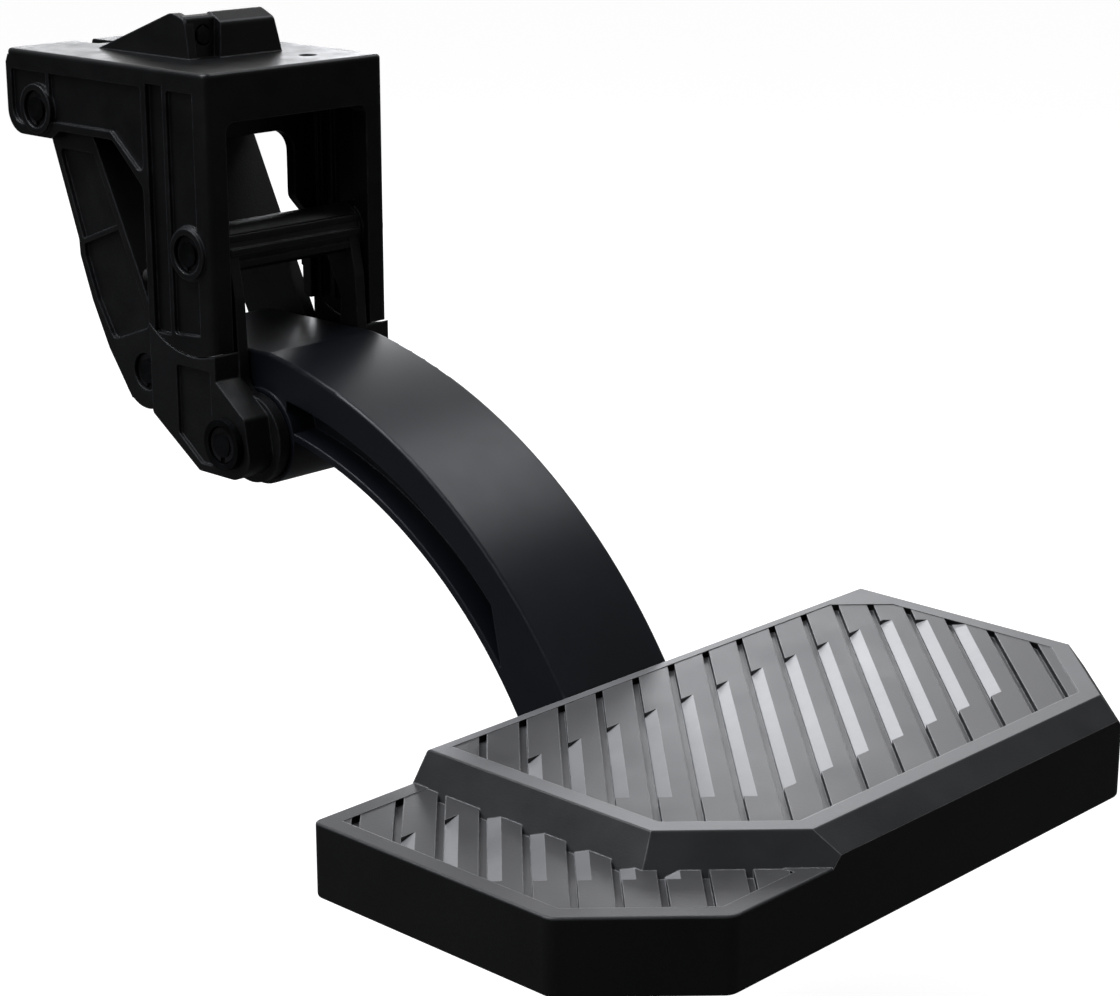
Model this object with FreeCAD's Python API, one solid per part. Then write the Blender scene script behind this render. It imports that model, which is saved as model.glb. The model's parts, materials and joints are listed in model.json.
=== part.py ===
import FreeCAD, Part
import math
import os

# Retractable truck bed step: a cast bracket under the bed carries two swinging links,
# the links carry a curved arm, and the arm carries a two-level step pad.
# Frame: X along the pad, Y towards the vehicle, Z up. Origin in the middle of the
# bracket's top face, which is bolted up under the bed.

os.makedirs("parts", exist_ok=True)

# Bracket housing
HOUSING_FRONT_Y = -78.5
HOUSING_REAR_Y = 79.0
PLATE_THICKNESS = 8.0
SKIN_THICKNESS = 6.0
CORNER_RADIUS = 4.0
EDGE_RADIUS = 2.0
FLANGE_DEPTH = 38.0
BOSS_LUG_DEPTH = 42.5
PORTAL_REAR_Y = -29.0
COLUMN_WIDTH = 12.0
COLUMN_DEPTH = 10.0
BEAM_HEIGHT = 16.0
PORTAL_BOTTOM_RADIUS = 50.0
SKIRT_Z = -145.0
ARCH_TOP_DEPTH = 39.0
ARCH_WALL = 6.0
ARCH_HALF_WIDTH = 34.0
ARCH_STEP_Z = -74.0
ARCH_BOTTOM_Z = -127.0
FLANGE_STEP = 23.0
CHANNEL_FRONT_Y = -46.0
CHANNEL_REAR_Y = -33.5
CHANNEL_DEPTH = 2.6
POCKET_DEPTH = 1.8
RIM_WIDTH = 4.0
BOSS_RING_RADIUS = 12.5
BOSS_RING_HEIGHT = 1.6
HOUSING_HOLE_X = 27.0
HOUSING_HOLE_Y = -56.3
HOUSING_HOLE_RADIUS = 4.5
SLOT_X = -9.0
SLOT_RADIUS = 6.5
SLOT_LENGTH = 22.0

# Hook block on the plate
BLOCK_LEFT_X = -26.0
BLOCK_RIGHT_X = 31.0
NOTCH_RIGHT_X = -9.0
BLOCK_FRONT_Y = -33.0
BLOCK_FRONT_HEIGHT = 17.0
BLOCK_REAR_HEIGHT = 23.0
BLOCK_TOP_LENGTH = 12.0
GUSSET_THICKNESS = 5.0
GUSSET_REAR_Y = 45.0
CLAMP_BOLT_X = -15.0
CLAMP_BOLT_Z = 11.0
CLAMP_BOLT_RADIUS = 2.5
CLAMP_SEAT_RADIUS = 5.2
CLAMP_FLATS = 8.0
CLAMP_WALL = 3.0
CLAMP_HEAD_HEIGHT = 3.2
CLAMP_NUT_HEIGHT = 4.0

# Pivot places, as Y and Z
UPPER_REAR_Y = 54.0
UPPER_REAR_Z = -28.5
LOWER_REAR_Y = -16.0
LOWER_REAR_Z = -153.5
UPPER_FRONT_Y = -62.0
UPPER_FRONT_Z = -87.0
LOWER_FRONT_Y = -85.5
LOWER_FRONT_Z = -176.7

# Pins, bushes and washers
PIN_RADIUS = 6.0
RUNNING_CLEARANCE = 0.03
BUSH_WALL = 2.0
BUSH_LENGTH = 20.0
SIDE_GAP = 0.8
ARM_SIDE_GAP = 1.5
WASHER_THICKNESS = 1.4
RING_THICKNESS = 1.2
RING_RADIUS = 8.6
RING_SEAT_RADIUS = 9.4
RING_SEAT_DEPTH = 3.0
PIN_END_DEPTH = 0.5
RING_PLAY = 0.1
RING_GROOVE_DEPTH = 0.8
RING_OPENING = 3.2
OPEN_PIVOT_CLEARANCE = 3.0
COVER_RADIUS = 12.6
COVER_THICKNESS = 3.4
COVER_SEAT_DEPTH = 2.2
COVER_GAP = 0.4

# Rear link
REAR_LEG_THICKNESS = 7.2
REAR_UPPER_BOSS_RADIUS = 14.0
REAR_LOWER_BOSS_RADIUS = 19.0
REAR_WEB_THICKNESS = 7.0
REAR_WEB_TOP_Z = -40.0
REAR_WEB_BOTTOM_Z = -98.0
REAR_RIB_WIDTH = 3.0

# Front link
FRONT_LEG_THICKNESS = 6.0
BARREL_RADIUS = 12.3
LEG_TOP_RADIUS = 11.5
HUB_DISC_RADIUS = 22.0
EAR_BOSS_RADIUS = 13.4
EAR_RADIUS = 17.3
CHEEK_GAP = 0.6
CHEEK_SHOULDER = 29.5

# Swing arm
ARM_HALF_WIDTH = 34.5
ARM_TOP_Z = -134.5
ARM_ROOT_FRONT_Y = -92.0
ARM_TOP_MIDDLE_Y = -198.0
ARM_TOP_MIDDLE_Z = -173.4
ARM_LOW_MIDDLE_Y = -182.5
ARM_LOW_MIDDLE_Z = -203.5
ARM_EDGE_RADIUS = 1.5
ARM_HUB_RADIUS = 24.0
ARM_ROOT_RADIUS = 19.0
ARM_WEB_HALF_WIDTH = 20.0
ARM_BAND_HEIGHT = 18.0
ARM_FLANGE = 3.5
ARM_BAND_START_Y = -104.0
ARM_BAND_END_Y = -256.0
HEEL_RUN = 22.0
FOOT_DROP = 22.0
FOOT_THICKNESS = 12.0
FOOT_LENGTH = 95.0

# Step pad
PAD_HALF_LENGTH = 187.5
PAD_REAR_Y = -291.0
PAD_DEPTH = 183.0
PAD_TOP_Z = -259.5
PAD_HEIGHT = 46.0
LEDGE_DROP = 12.5
LEDGE_LENGTH = 66.0
PAD_WALL = 5.0
DECK_THICKNESS = 8.0
PAD_RIB_THICKNESS = 4.0
PAD_RIB_PITCH = 43.5
PAD_RIB_GAP = 6.0
PAD_CORNER_RADIUS = 8.0
PAD_EDGE_RADIUS = 1.2
HIGH_HOLLOW_FRONT = 60.0
PLATFORM_RIGHT_INSET = 9.0
PLATFORM_FRONT_INSET = 12.0
PLATFORM_FRONT_DROP = 8.5
LEFT_CHAMFER = 49.5
RIGHT_CHAMFER = 56.5
PLATFORM_LEFT_CHAMFER = 45.0
PLATFORM_RIGHT_CHAMFER = 48.0
TREAD_RIM = 9.0
TREAD_DEPTH = 3.2
BAR_PITCH = 24.5
BAR_WIDTH = 14.0
BAR_FACET_WIDTH = 5.6
BAR_FACET_DROP = 2.2
BAR_FACET_REAR = 38.0
BAR_FACET_FRONT = 26.0
BAR_OVERLAP = 0.6
BAR_TOP_DROP = 0.3
NOTCH_GAP = 1.0
REAR_CORNER_CUT = 22.0
SCREW_BOSS_RADIUS = 9.0
SCREW_X = 22.0
SCREW_REAR_INSET = 24.0
SCREW_SPACING_Y = 50.0
SCREW_RADIUS = 4.0
SCREW_DEPTH = 13.0
SCREW_FLATS = 12.0
SCREW_HEAD_HEIGHT = 5.0
SCREW_WASHER_RADIUS = 8.0

# Spring and rubber stops
SPRING_WIRE_RADIUS = 1.75
SPRING_MEAN_RADIUS = 10.5
SPRING_HALF_LENGTH = 25.0
BUMPER_RADIUS = 3.4
BUMPER_Z = -105.0
BUMPER_GAP = 0.3
STUD_RADIUS = 1.5
STUD_LENGTH = 13.0

# Worked-out sizes
FRONT_LEG_INNER = ARM_HALF_WIDTH + ARM_SIDE_GAP
FRONT_LEG_OUTER = FRONT_LEG_INNER + FRONT_LEG_THICKNESS
REAR_LINK_INNER = FRONT_LEG_OUTER + SIDE_GAP
REAR_LINK_OUTER = REAR_LINK_INNER + REAR_LEG_THICKNESS
SKIN_INNER = REAR_LINK_OUTER + SIDE_GAP
HOUSING_HALF_WIDTH = SKIN_INNER + SKIN_THICKNESS
OUTER_FACE = -HOUSING_HALF_WIDTH
ARM_HUB_HALF_WIDTH = ARM_HALF_WIDTH + 0.5
ARM_ROOT_BOTTOM_Z = LOWER_REAR_Z - ARM_ROOT_RADIUS
BUSH_RADIUS = PIN_RADIUS + BUSH_WALL
PAD_BOTTOM_Z = PAD_TOP_Z - PAD_HEIGHT
PAD_FRONT_Y = PAD_REAR_Y - PAD_DEPTH
LEDGE_Z = PAD_TOP_Z - LEDGE_DROP
DECK_BOTTOM_Z = PAD_TOP_Z - DECK_THICKNESS
CLAMP_REAR_Y = BLOCK_FRONT_Y + BLOCK_TOP_LENGTH - 1
CLAMP_FRONT_Y = CLAMP_REAR_Y - CLAMP_WALL
FOOT_TOP_Z = PAD_TOP_Z - FOOT_DROP
FOOT_BOTTOM_Z = FOOT_TOP_Z - FOOT_THICKNESS
REAR_LINE_SLOPE = 0.5
BUMPER_X = (REAR_LINK_INNER + REAR_LINK_OUTER) / 2


def rounded_wire(corners, place):
    """Closed wire through corners given as (a, b, radius), with tangent arcs."""
    count = len(corners)
    cuts = []
    for index in range(count):
        a0, b0, _ = corners[index - 1]
        a1, b1, radius = corners[index]
        a2, b2, _ = corners[(index + 1) % count]
        back = FreeCAD.Vector(a0 - a1, b0 - b1, 0).normalize()
        ahead = FreeCAD.Vector(a2 - a1, b2 - b1, 0).normalize()
        here = FreeCAD.Vector(a1, b1, 0)
        if radius <= 0:
            cuts.append((here, here, here))
            continue
        half = back.getAngle(ahead) / 2
        reach = radius / math.tan(half)
        middle = (back + ahead).normalize()
        centre = here + middle * (radius / math.sin(half))
        cuts.append((here + back * reach, centre - middle * radius, here + ahead * reach))
    edges = []
    for index in range(count):
        start, middle, end = cuts[index]
        following = cuts[(index + 1) % count][0]
        if (start - end).Length > 1e-6:
            edges.append(Part.Arc(place(start), place(middle), place(end)).toShape())
        if (end - following).Length > 1e-6:
            edges.append(Part.LineSegment(place(end), place(following)).toShape())
    return Part.Wire(edges)


def side_prism(corners, x0, x1):
    """Outline in Y and Z, drawn out along X."""
    wire = rounded_wire(corners, lambda p: FreeCAD.Vector(x0, p.x, p.y))
    return Part.Face(wire).extrude(FreeCAD.Vector(x1 - x0, 0, 0))


def plan_prism(corners, z0, z1):
    """Outline in X and Y, drawn out along Z."""
    wire = rounded_wire(corners, lambda p: FreeCAD.Vector(p.x, p.y, z0))
    return Part.Face(wire).extrude(FreeCAD.Vector(0, 0, z1 - z0))


def front_prism(corners, y0, y1):
    """Outline in X and Z, drawn out along Y."""
    wire = rounded_wire(corners, lambda p: FreeCAD.Vector(p.x, y0, p.y))
    return Part.Face(wire).extrude(FreeCAD.Vector(0, y1 - y0, 0))


def block(x0, x1, y0, y1, z0, z1):
    corner = FreeCAD.Vector(x0, y0, z0)
    return Part.makeBox(x1 - x0, y1 - y0, z1 - z0, corner)


def rod(x0, x1, y, z, radius):
    """Cylinder along X."""
    return Part.makeCylinder(radius, x1 - x0, FreeCAD.Vector(x0, y, z), FreeCAD.Vector(1, 0, 0))


def rod_y(x, y0, y1, z, radius):
    """Cylinder along Y."""
    return Part.makeCylinder(radius, y1 - y0, FreeCAD.Vector(x, y0, z), FreeCAD.Vector(0, 1, 0))


def rod_z(x, y, z0, z1, radius):
    """Cylinder along Z."""
    return Part.makeCylinder(radius, z1 - z0, FreeCAD.Vector(x, y, z0))


def hexagon(flats, height, centre, axis):
    """Hexagonal prism from centre along axis."""
    normal = FreeCAD.Vector(*axis)
    turn = FreeCAD.Rotation(FreeCAD.Vector(0, 0, 1), normal)
    reach = flats / math.sqrt(3)
    points = []
    for step in range(7):
        angle = math.radians(60 * step + 30)
        local = FreeCAD.Vector(reach * math.cos(angle), reach * math.sin(angle), 0)
        points.append(FreeCAD.Vector(*centre) + turn.multVec(local))
    return Part.Face(Part.makePolygon(points)).extrude(normal * height)


def mirrored(shape):
    """The same shape on the other side of the plane X = 0."""
    return shape.mirror(FreeCAD.Vector(0, 0, 0), FreeCAD.Vector(1, 0, 0))


def both_sides(shape):
    return [shape, mirrored(shape)]


def fuse(shapes):
    return shapes[0].multiFuse(shapes[1:]).removeSplitter()


def cut(shape, tools):
    return shape.cut(Part.makeCompound(tools))


def save(name, shapes):
    """Write one node, as one solid or as a group of separate solids."""
    solids = []
    for shape in shapes:
        solids.extend(shape.Solids)
    result = solids[0] if len(solids) == 1 else Part.makeCompound(solids)
    result.exportStep("parts/" + name + ".step")


def rear_line_y(z):
    """Y of the rear link's straight front edge at height z."""
    return UPPER_REAR_Y - 37.2 + REAR_LINE_SLOPE * (z - UPPER_REAR_Z + 14.2)


def portal_bottom():
    """What lies inside the portal's round lower edge, about the upper front pivot."""
    deep = HOUSING_HALF_WIDTH + 5
    disc = rod(-deep, deep, UPPER_FRONT_Y, UPPER_FRONT_Z, PORTAL_BOTTOM_RADIUS)
    above = block(-deep, deep, HOUSING_FRONT_Y - 5, HOUSING_REAR_Y + 5, UPPER_FRONT_Z - 38, 40)
    return disc.fuse(above)


def housing_skin():
    """Left side wall: portal column and rear flange in one outline."""
    outline = [
        (HOUSING_FRONT_Y + CORNER_RADIUS, -EDGE_RADIUS - 1, 0),
        (HOUSING_REAR_Y - EDGE_RADIUS, -EDGE_RADIUS - 1, 0),
        (HOUSING_REAR_Y, -PLATE_THICKNESS + 1, 0),
        (HOUSING_REAR_Y, -BOSS_LUG_DEPTH, 12),
        (UPPER_REAR_Y - 11, -BOSS_LUG_DEPTH, 3),
        (UPPER_REAR_Y - 17, -FLANGE_DEPTH, 3),
        (PORTAL_REAR_Y + FLANGE_STEP, -FLANGE_DEPTH, 5),
        (PORTAL_REAR_Y, -FLANGE_DEPTH - 21, 7),
        (PORTAL_REAR_Y, SKIRT_Z, 0),
        (HOUSING_FRONT_Y + CORNER_RADIUS, SKIRT_Z, 0),
    ]
    wall = side_prism(outline, OUTER_FACE, -SKIN_INNER)
    outer = OUTER_FACE - 1
    floor = OUTER_FACE + POCKET_DEPTH
    pocket_top = -PLATE_THICKNESS - 2
    flange_pocket = side_prism([
        (CHANNEL_REAR_Y + 4, pocket_top, 2),
        (HOUSING_REAR_Y - RIM_WIDTH, pocket_top, 2),
        (HOUSING_REAR_Y - RIM_WIDTH, -BOSS_LUG_DEPTH + RIM_WIDTH, 8),
        (UPPER_REAR_Y - 14, -FLANGE_DEPTH + RIM_WIDTH, 2),
        (PORTAL_REAR_Y + FLANGE_STEP + 1, -FLANGE_DEPTH + RIM_WIDTH, 3),
        (CHANNEL_REAR_Y + 4, -FLANGE_DEPTH - 16, 3),
    ], outer, floor)
    keep_ring = rod(outer - 1, 0, UPPER_REAR_Y, UPPER_REAR_Z, BOSS_RING_RADIUS)
    rib_y = UPPER_REAR_Y - BOSS_RING_RADIUS + 2
    rib = block(outer - 1, 0, rib_y, rib_y + 2.5, UPPER_REAR_Z, 0)
    flange_pocket = flange_pocket.cut(keep_ring).cut(rib)
    pocket_bottom = UPPER_FRONT_Z - PORTAL_BOTTOM_RADIUS + 9
    face_pocket = side_prism([
        (HOUSING_FRONT_Y + RIM_WIDTH, pocket_top, 2),
        (CHANNEL_FRONT_Y - 3, pocket_top, 2),
        (CHANNEL_FRONT_Y - 3, pocket_bottom, 2),
        (HOUSING_FRONT_Y + RIM_WIDTH, pocket_bottom + 2, 2),
    ], outer, floor)
    channel = block(outer, OUTER_FACE + CHANNEL_DEPTH, CHANNEL_FRONT_Y, CHANNEL_REAR_Y,
                    pocket_bottom - 1, -PLATE_THICKNESS)
    boss = rod(outer - 1, 0, UPPER_FRONT_Y, UPPER_FRONT_Z, BOSS_RING_RADIUS + 1)
    wall = wall.cut(flange_pocket).cut(face_pocket.cut(boss)).cut(channel.cut(boss))
    pieces = [wall]
    for y in (CHANNEL_FRONT_Y - 2, CHANNEL_REAR_Y - 4):
        pieces.append(block(-SKIN_INNER - 1, -SKIN_INNER + CHANNEL_DEPTH, y, y + 3,
                            ARCH_BOTTOM_Z, -1))
    for y, z in ((UPPER_REAR_Y, UPPER_REAR_Z), (UPPER_FRONT_Y, UPPER_FRONT_Z)):
        pieces.append(rod(OUTER_FACE - BOSS_RING_HEIGHT, -SKIN_INNER, y, z, BOSS_RING_RADIUS))
    pieces.append(rod(-SKIN_INNER, -FRONT_LEG_OUTER - SIDE_GAP / 2, UPPER_FRONT_Y, UPPER_FRONT_Z,
                      BOSS_RING_RADIUS))
    seat = BUMPER_RADIUS + 2.5
    seat_depth = STUD_LENGTH / 2 + 0.5
    pieces.append(block(-SKIN_INNER, -REAR_LINK_INNER, PORTAL_REAR_Y - seat_depth, PORTAL_REAR_Y,
                        BUMPER_Z - seat, BUMPER_Z + seat))
    return fuse(pieces)


def hook_block():
    """Cast block on the plate that hooks over the frame's edge, with its gusset and notch."""
    top_y = BLOCK_FRONT_Y + BLOCK_TOP_LENGTH
    foot_y = top_y + 5
    wall = side_prism([
        (BLOCK_FRONT_Y, -2, 0),
        (BLOCK_FRONT_Y + 1, BLOCK_FRONT_HEIGHT, 3),
        (top_y, BLOCK_REAR_HEIGHT, 3),
        (foot_y, -2, 0),
    ], NOTCH_RIGHT_X, BLOCK_RIGHT_X)
    ends = front_prism([
        (NOTCH_RIGHT_X, -2, 0),
        (NOTCH_RIGHT_X + 2, BLOCK_REAR_HEIGHT + 1, 4),
        (BLOCK_RIGHT_X - 6, BLOCK_REAR_HEIGHT + 1, 6),
        (BLOCK_RIGHT_X, -2, 0),
    ], BLOCK_FRONT_Y - 1, foot_y + 1)
    wall = wall.common(ends)
    low_wall = side_prism([
        (BLOCK_FRONT_Y + 5, -2, 0),
        (BLOCK_FRONT_Y + 6, BLOCK_REAR_HEIGHT - 3, 2),
        (top_y, BLOCK_REAR_HEIGHT - 2, 2),
        (foot_y, -2, 0),
    ], BLOCK_LEFT_X + 1, NOTCH_RIGHT_X + 4)
    gusset_outline = [
        (BLOCK_FRONT_Y + 3, -2, 0),
        (BLOCK_FRONT_Y + 6, BLOCK_REAR_HEIGHT - 4, 5),
        (top_y + 4, BLOCK_REAR_HEIGHT - 1, 8),
        (GUSSET_REAR_Y, -1, 0),
        (GUSSET_REAR_Y, -2, 0),
    ]
    left = side_prism(gusset_outline, BLOCK_LEFT_X, BLOCK_LEFT_X + GUSSET_THICKNESS)
    right = side_prism([
        (top_y, -2, 0),
        (top_y, BLOCK_REAR_HEIGHT - 5, 0),
        (top_y + 6, BLOCK_REAR_HEIGHT - 5, 4),
        (GUSSET_REAR_Y, -1, 0),
        (GUSSET_REAR_Y, -2, 0),
    ], BLOCK_RIGHT_X - 7 - GUSSET_THICKNESS, BLOCK_RIGHT_X - 7)
    body = fuse([wall, low_wall, left, right])
    bolt_hole = rod_y(CLAMP_BOLT_X, BLOCK_FRONT_Y, foot_y + 1, CLAMP_BOLT_Z, CLAMP_BOLT_RADIUS)
    head_seat = rod_y(CLAMP_BOLT_X, BLOCK_FRONT_Y, CLAMP_FRONT_Y, CLAMP_BOLT_Z, CLAMP_SEAT_RADIUS)
    nut_seat = rod_y(CLAMP_BOLT_X, CLAMP_REAR_Y, foot_y + 1, CLAMP_BOLT_Z, CLAMP_SEAT_RADIUS)
    return cut(body, [bolt_hole, head_seat, nut_seat])


def bracket_housing():
    """Cast bracket: top plate, side walls, front frame and rear arch in one piece."""
    plate = plan_prism([
        (-HOUSING_HALF_WIDTH, HOUSING_FRONT_Y, CORNER_RADIUS),
        (HOUSING_HALF_WIDTH, HOUSING_FRONT_Y, CORNER_RADIUS),
        (HOUSING_HALF_WIDTH, HOUSING_REAR_Y, CORNER_RADIUS),
        (-HOUSING_HALF_WIDTH, HOUSING_REAR_Y, CORNER_RADIUS),
    ], -PLATE_THICKNESS, 0)
    top_edges = [edge for edge in plate.Edges if edge.BoundBox.ZMin > -0.01]
    plate = plate.makeFillet(EDGE_RADIUS, top_edges)
    back = HOUSING_FRONT_Y + COLUMN_DEPTH
    front_frame = plan_prism([
        (-HOUSING_HALF_WIDTH, HOUSING_FRONT_Y, CORNER_RADIUS),
        (HOUSING_HALF_WIDTH, HOUSING_FRONT_Y, CORNER_RADIUS),
        (HOUSING_HALF_WIDTH, back, 0),
        (-HOUSING_HALF_WIDTH, back, 0),
    ], SKIRT_Z, -PLATE_THICKNESS / 2)
    column_inner = HOUSING_HALF_WIDTH - COLUMN_WIDTH
    window = front_prism([
        (-column_inner, -PLATE_THICKNESS - BEAM_HEIGHT, 5),
        (column_inner, -PLATE_THICKNESS - BEAM_HEIGHT, 5),
        (column_inner, SKIRT_Z - 5, 0),
        (-column_inner, SKIRT_Z - 5, 0),
    ], HOUSING_FRONT_Y - 1, back + 1)
    front_frame = front_frame.cut(window)
    arch = front_prism([
        (-SKIN_INNER - 1, -1, 0),
        (SKIN_INNER + 1, -1, 0),
        (SKIN_INNER + 1, ARCH_BOTTOM_Z, 0),
        (-SKIN_INNER - 1, ARCH_BOTTOM_Z, 0),
    ], PORTAL_REAR_Y - ARCH_WALL - 1, PORTAL_REAR_Y - 1)
    low_half = FRONT_LEG_OUTER + SIDE_GAP
    arch_hole = front_prism([
        (-ARCH_HALF_WIDTH, -ARCH_TOP_DEPTH, 12),
        (ARCH_HALF_WIDTH, -ARCH_TOP_DEPTH, 12),
        (ARCH_HALF_WIDTH, ARCH_STEP_Z, 6),
        (low_half, ARCH_STEP_Z - 10, 3),
        (low_half, ARCH_BOTTOM_Z - 5, 0),
        (-low_half, ARCH_BOTTOM_Z - 5, 0),
        (-low_half, ARCH_STEP_Z - 10, 3),
        (-ARCH_HALF_WIDTH, ARCH_STEP_Z, 6),
    ], PORTAL_REAR_Y - ARCH_WALL - 2, PORTAL_REAR_Y)
    arch = arch.cut(arch_hole)
    body = fuse([front_frame, arch] + both_sides(housing_skin()))
    body = body.common(portal_bottom())
    body = fuse([body, plate, hook_block()])
    reach = HOUSING_HALF_WIDTH + 10
    slot_y = HOUSING_REAR_Y - SLOT_LENGTH + SLOT_RADIUS
    holes = [
        rod_z(HOUSING_HOLE_X, HOUSING_HOLE_Y, -PLATE_THICKNESS - 1, 1, HOUSING_HOLE_RADIUS),
        rod_z(SLOT_X, slot_y, -PLATE_THICKNESS - 1, 1, SLOT_RADIUS),
        block(SLOT_X - SLOT_RADIUS, SLOT_X + SLOT_RADIUS, slot_y, HOUSING_REAR_Y + 1,
              -PLATE_THICKNESS - 1, 1),
        rod(-reach, reach, UPPER_REAR_Y, UPPER_REAR_Z, PIN_RADIUS),
        rod(-reach, reach, UPPER_FRONT_Y, UPPER_FRONT_Z, PIN_RADIUS),
    ]
    boss_face = OUTER_FACE - BOSS_RING_HEIGHT
    for y, z in ((UPPER_REAR_Y, UPPER_REAR_Z), (UPPER_FRONT_Y, UPPER_FRONT_Z)):
        holes += both_sides(rod(boss_face - 1, boss_face + RING_SEAT_DEPTH, y, z,
                                RING_SEAT_RADIUS))
    return cut(body, holes + both_sides(bumper_stud()))


def rear_leg():
    """Left leg of the rear link, with its recessed outer face."""
    outline = [
        (rear_line_y(-29), -29, 0),
        (UPPER_REAR_Y, UPPER_REAR_Z + REAR_UPPER_BOSS_RADIUS, 0),
        (UPPER_REAR_Y + 13, UPPER_REAR_Z, 5),
        (UPPER_REAR_Y - 1, UPPER_REAR_Z - 13.5, 5),
        (34, -93, 4),
        (33.5, -101, 4),
        (25, -123, 10),
        (13, -146, 10),
        (-4, -169, 0),
        (rear_line_y(-141), -141, 0),
    ]
    leg = side_prism(outline, -REAR_LINK_OUTER, -REAR_LINK_INNER)
    upper = rod(-REAR_LINK_OUTER, -REAR_LINK_INNER + 13, UPPER_REAR_Y, UPPER_REAR_Z,
                REAR_UPPER_BOSS_RADIUS)
    lower = rod(-REAR_LINK_OUTER, -REAR_LINK_INNER, LOWER_REAR_Y, LOWER_REAR_Z,
                REAR_LOWER_BOSS_RADIUS)
    pocket = side_prism([
        (rear_line_y(-48) + 4.5, -48, 2),
        (UPPER_REAR_Y - 7, -48, 3),
        (30, -93, 3),
        (29.5, -101, 3),
        (21, -122, 6),
        (9, -141, 4),
        (rear_line_y(-128) + 4.5, -130, 4),
    ], -REAR_LINK_OUTER - 1, -REAR_LINK_OUTER + 2.4)
    cross_rib = side_prism([
        (38, -98, 0),
        (38, -98 + REAR_RIB_WIDTH, 0),
        (-10, -80 + REAR_RIB_WIDTH, 0),
        (-10, -80, 0),
    ], -REAR_LINK_OUTER - 2, -REAR_LINK_INNER)
    around = rod(-REAR_LINK_OUTER - 2, 0, LOWER_REAR_Y, LOWER_REAR_Z, REAR_LOWER_BOSS_RADIUS)
    pocket = pocket.cut(cross_rib).cut(around)
    return fuse([leg, upper, lower]).cut(pocket)


def rear_link():
    """Cast fork from the flange's pivot down to the arm's root."""
    top_y = rear_line_y(REAR_WEB_TOP_Z)
    low_y = rear_line_y(REAR_WEB_BOTTOM_Z)
    web = side_prism([
        (top_y, REAR_WEB_TOP_Z, 0),
        (low_y, REAR_WEB_BOTTOM_Z, 0),
        (low_y + REAR_WEB_THICKNESS * 1.1, REAR_WEB_BOTTOM_Z, 2),
        (top_y + REAR_WEB_THICKNESS * 1.1, REAR_WEB_TOP_Z, 2),
    ], -REAR_LINK_INNER - 1, REAR_LINK_INNER + 1)
    body = fuse([web] + both_sides(rear_leg()))
    reach = HOUSING_HALF_WIDTH
    arch = rod_y(0, -60, 60, REAR_WEB_BOTTOM_Z - 22, ARM_HALF_WIDTH)
    seat = rod(-reach, -REAR_LINK_OUTER + RING_SEAT_DEPTH, LOWER_REAR_Y, LOWER_REAR_Z,
               RING_SEAT_RADIUS)
    return cut(body, both_sides(seat) + [
        rod(-reach, reach, UPPER_REAR_Y, UPPER_REAR_Z, BUSH_RADIUS),
        rod(-reach, reach, LOWER_REAR_Y, LOWER_REAR_Z, PIN_RADIUS),
        arch,
    ])


def cheek():
    """Left lower cheek of the front link, flush with the portal and round at its top."""
    rear_z = LOWER_FRONT_Z + 6
    outline = [
        (HOUSING_FRONT_Y, UPPER_FRONT_Z - 30, 0),
        (HOUSING_FRONT_Y, LOWER_FRONT_Z + CHEEK_SHOULDER, 0),
        (LOWER_FRONT_Y - 13.5, LOWER_FRONT_Z + 14, 3),
        (LOWER_FRONT_Y - EAR_RADIUS, LOWER_FRONT_Z - 10, 9),
        (LOWER_FRONT_Y - 6, LOWER_FRONT_Z - EAR_RADIUS, 9),
        (LOWER_FRONT_Y + 21.5, LOWER_FRONT_Z - EAR_RADIUS, 3),
        (PORTAL_REAR_Y, rear_z, 3),
        (PORTAL_REAR_Y, UPPER_FRONT_Z - 30, 0),
    ]
    body = side_prism(outline, OUTER_FACE, -SKIN_INNER)
    pocket = side_prism([
        (HOUSING_FRONT_Y + RIM_WIDTH, -143, 2),
        (CHANNEL_FRONT_Y - 3, -143, 2),
        (CHANNEL_FRONT_Y - 3, LOWER_FRONT_Z - 1, 2),
        (LOWER_FRONT_Y + 20, LOWER_FRONT_Z - EAR_RADIUS + RIM_WIDTH, 2),
        (HOUSING_FRONT_Y + RIM_WIDTH, LOWER_FRONT_Z - EAR_RADIUS + RIM_WIDTH, 2),
    ], OUTER_FACE - 1, OUTER_FACE + POCKET_DEPTH)
    around = rod(OUTER_FACE - 2, 0, LOWER_FRONT_Y, LOWER_FRONT_Z, EAR_BOSS_RADIUS)
    return body.cut(pocket.cut(around))


def ear_block():
    """Solid block inside the cheek that holds the lower pin."""
    outline = [
        (HOUSING_FRONT_Y, UPPER_FRONT_Z - 46, 0),
        (HOUSING_FRONT_Y, LOWER_FRONT_Z + CHEEK_SHOULDER, 0),
        (LOWER_FRONT_Y - 13.5, LOWER_FRONT_Z + 14, 3),
        (LOWER_FRONT_Y - EAR_RADIUS, LOWER_FRONT_Z - 10, 9),
        (LOWER_FRONT_Y - 6, LOWER_FRONT_Z - EAR_RADIUS, 9),
        (LOWER_FRONT_Y + 12, LOWER_FRONT_Z - EAR_RADIUS + 2, 9),
        (LOWER_FRONT_Y + EAR_RADIUS + 2, LOWER_FRONT_Z + 6, 6),
        (HOUSING_FRONT_Y + COLUMN_DEPTH, LOWER_FRONT_Z + 30, 4),
        (HOUSING_FRONT_Y + COLUMN_DEPTH, UPPER_FRONT_Z - 46, 0),
    ]
    return side_prism(outline, OUTER_FACE + POCKET_DEPTH, -FRONT_LEG_OUTER + 1)


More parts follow.
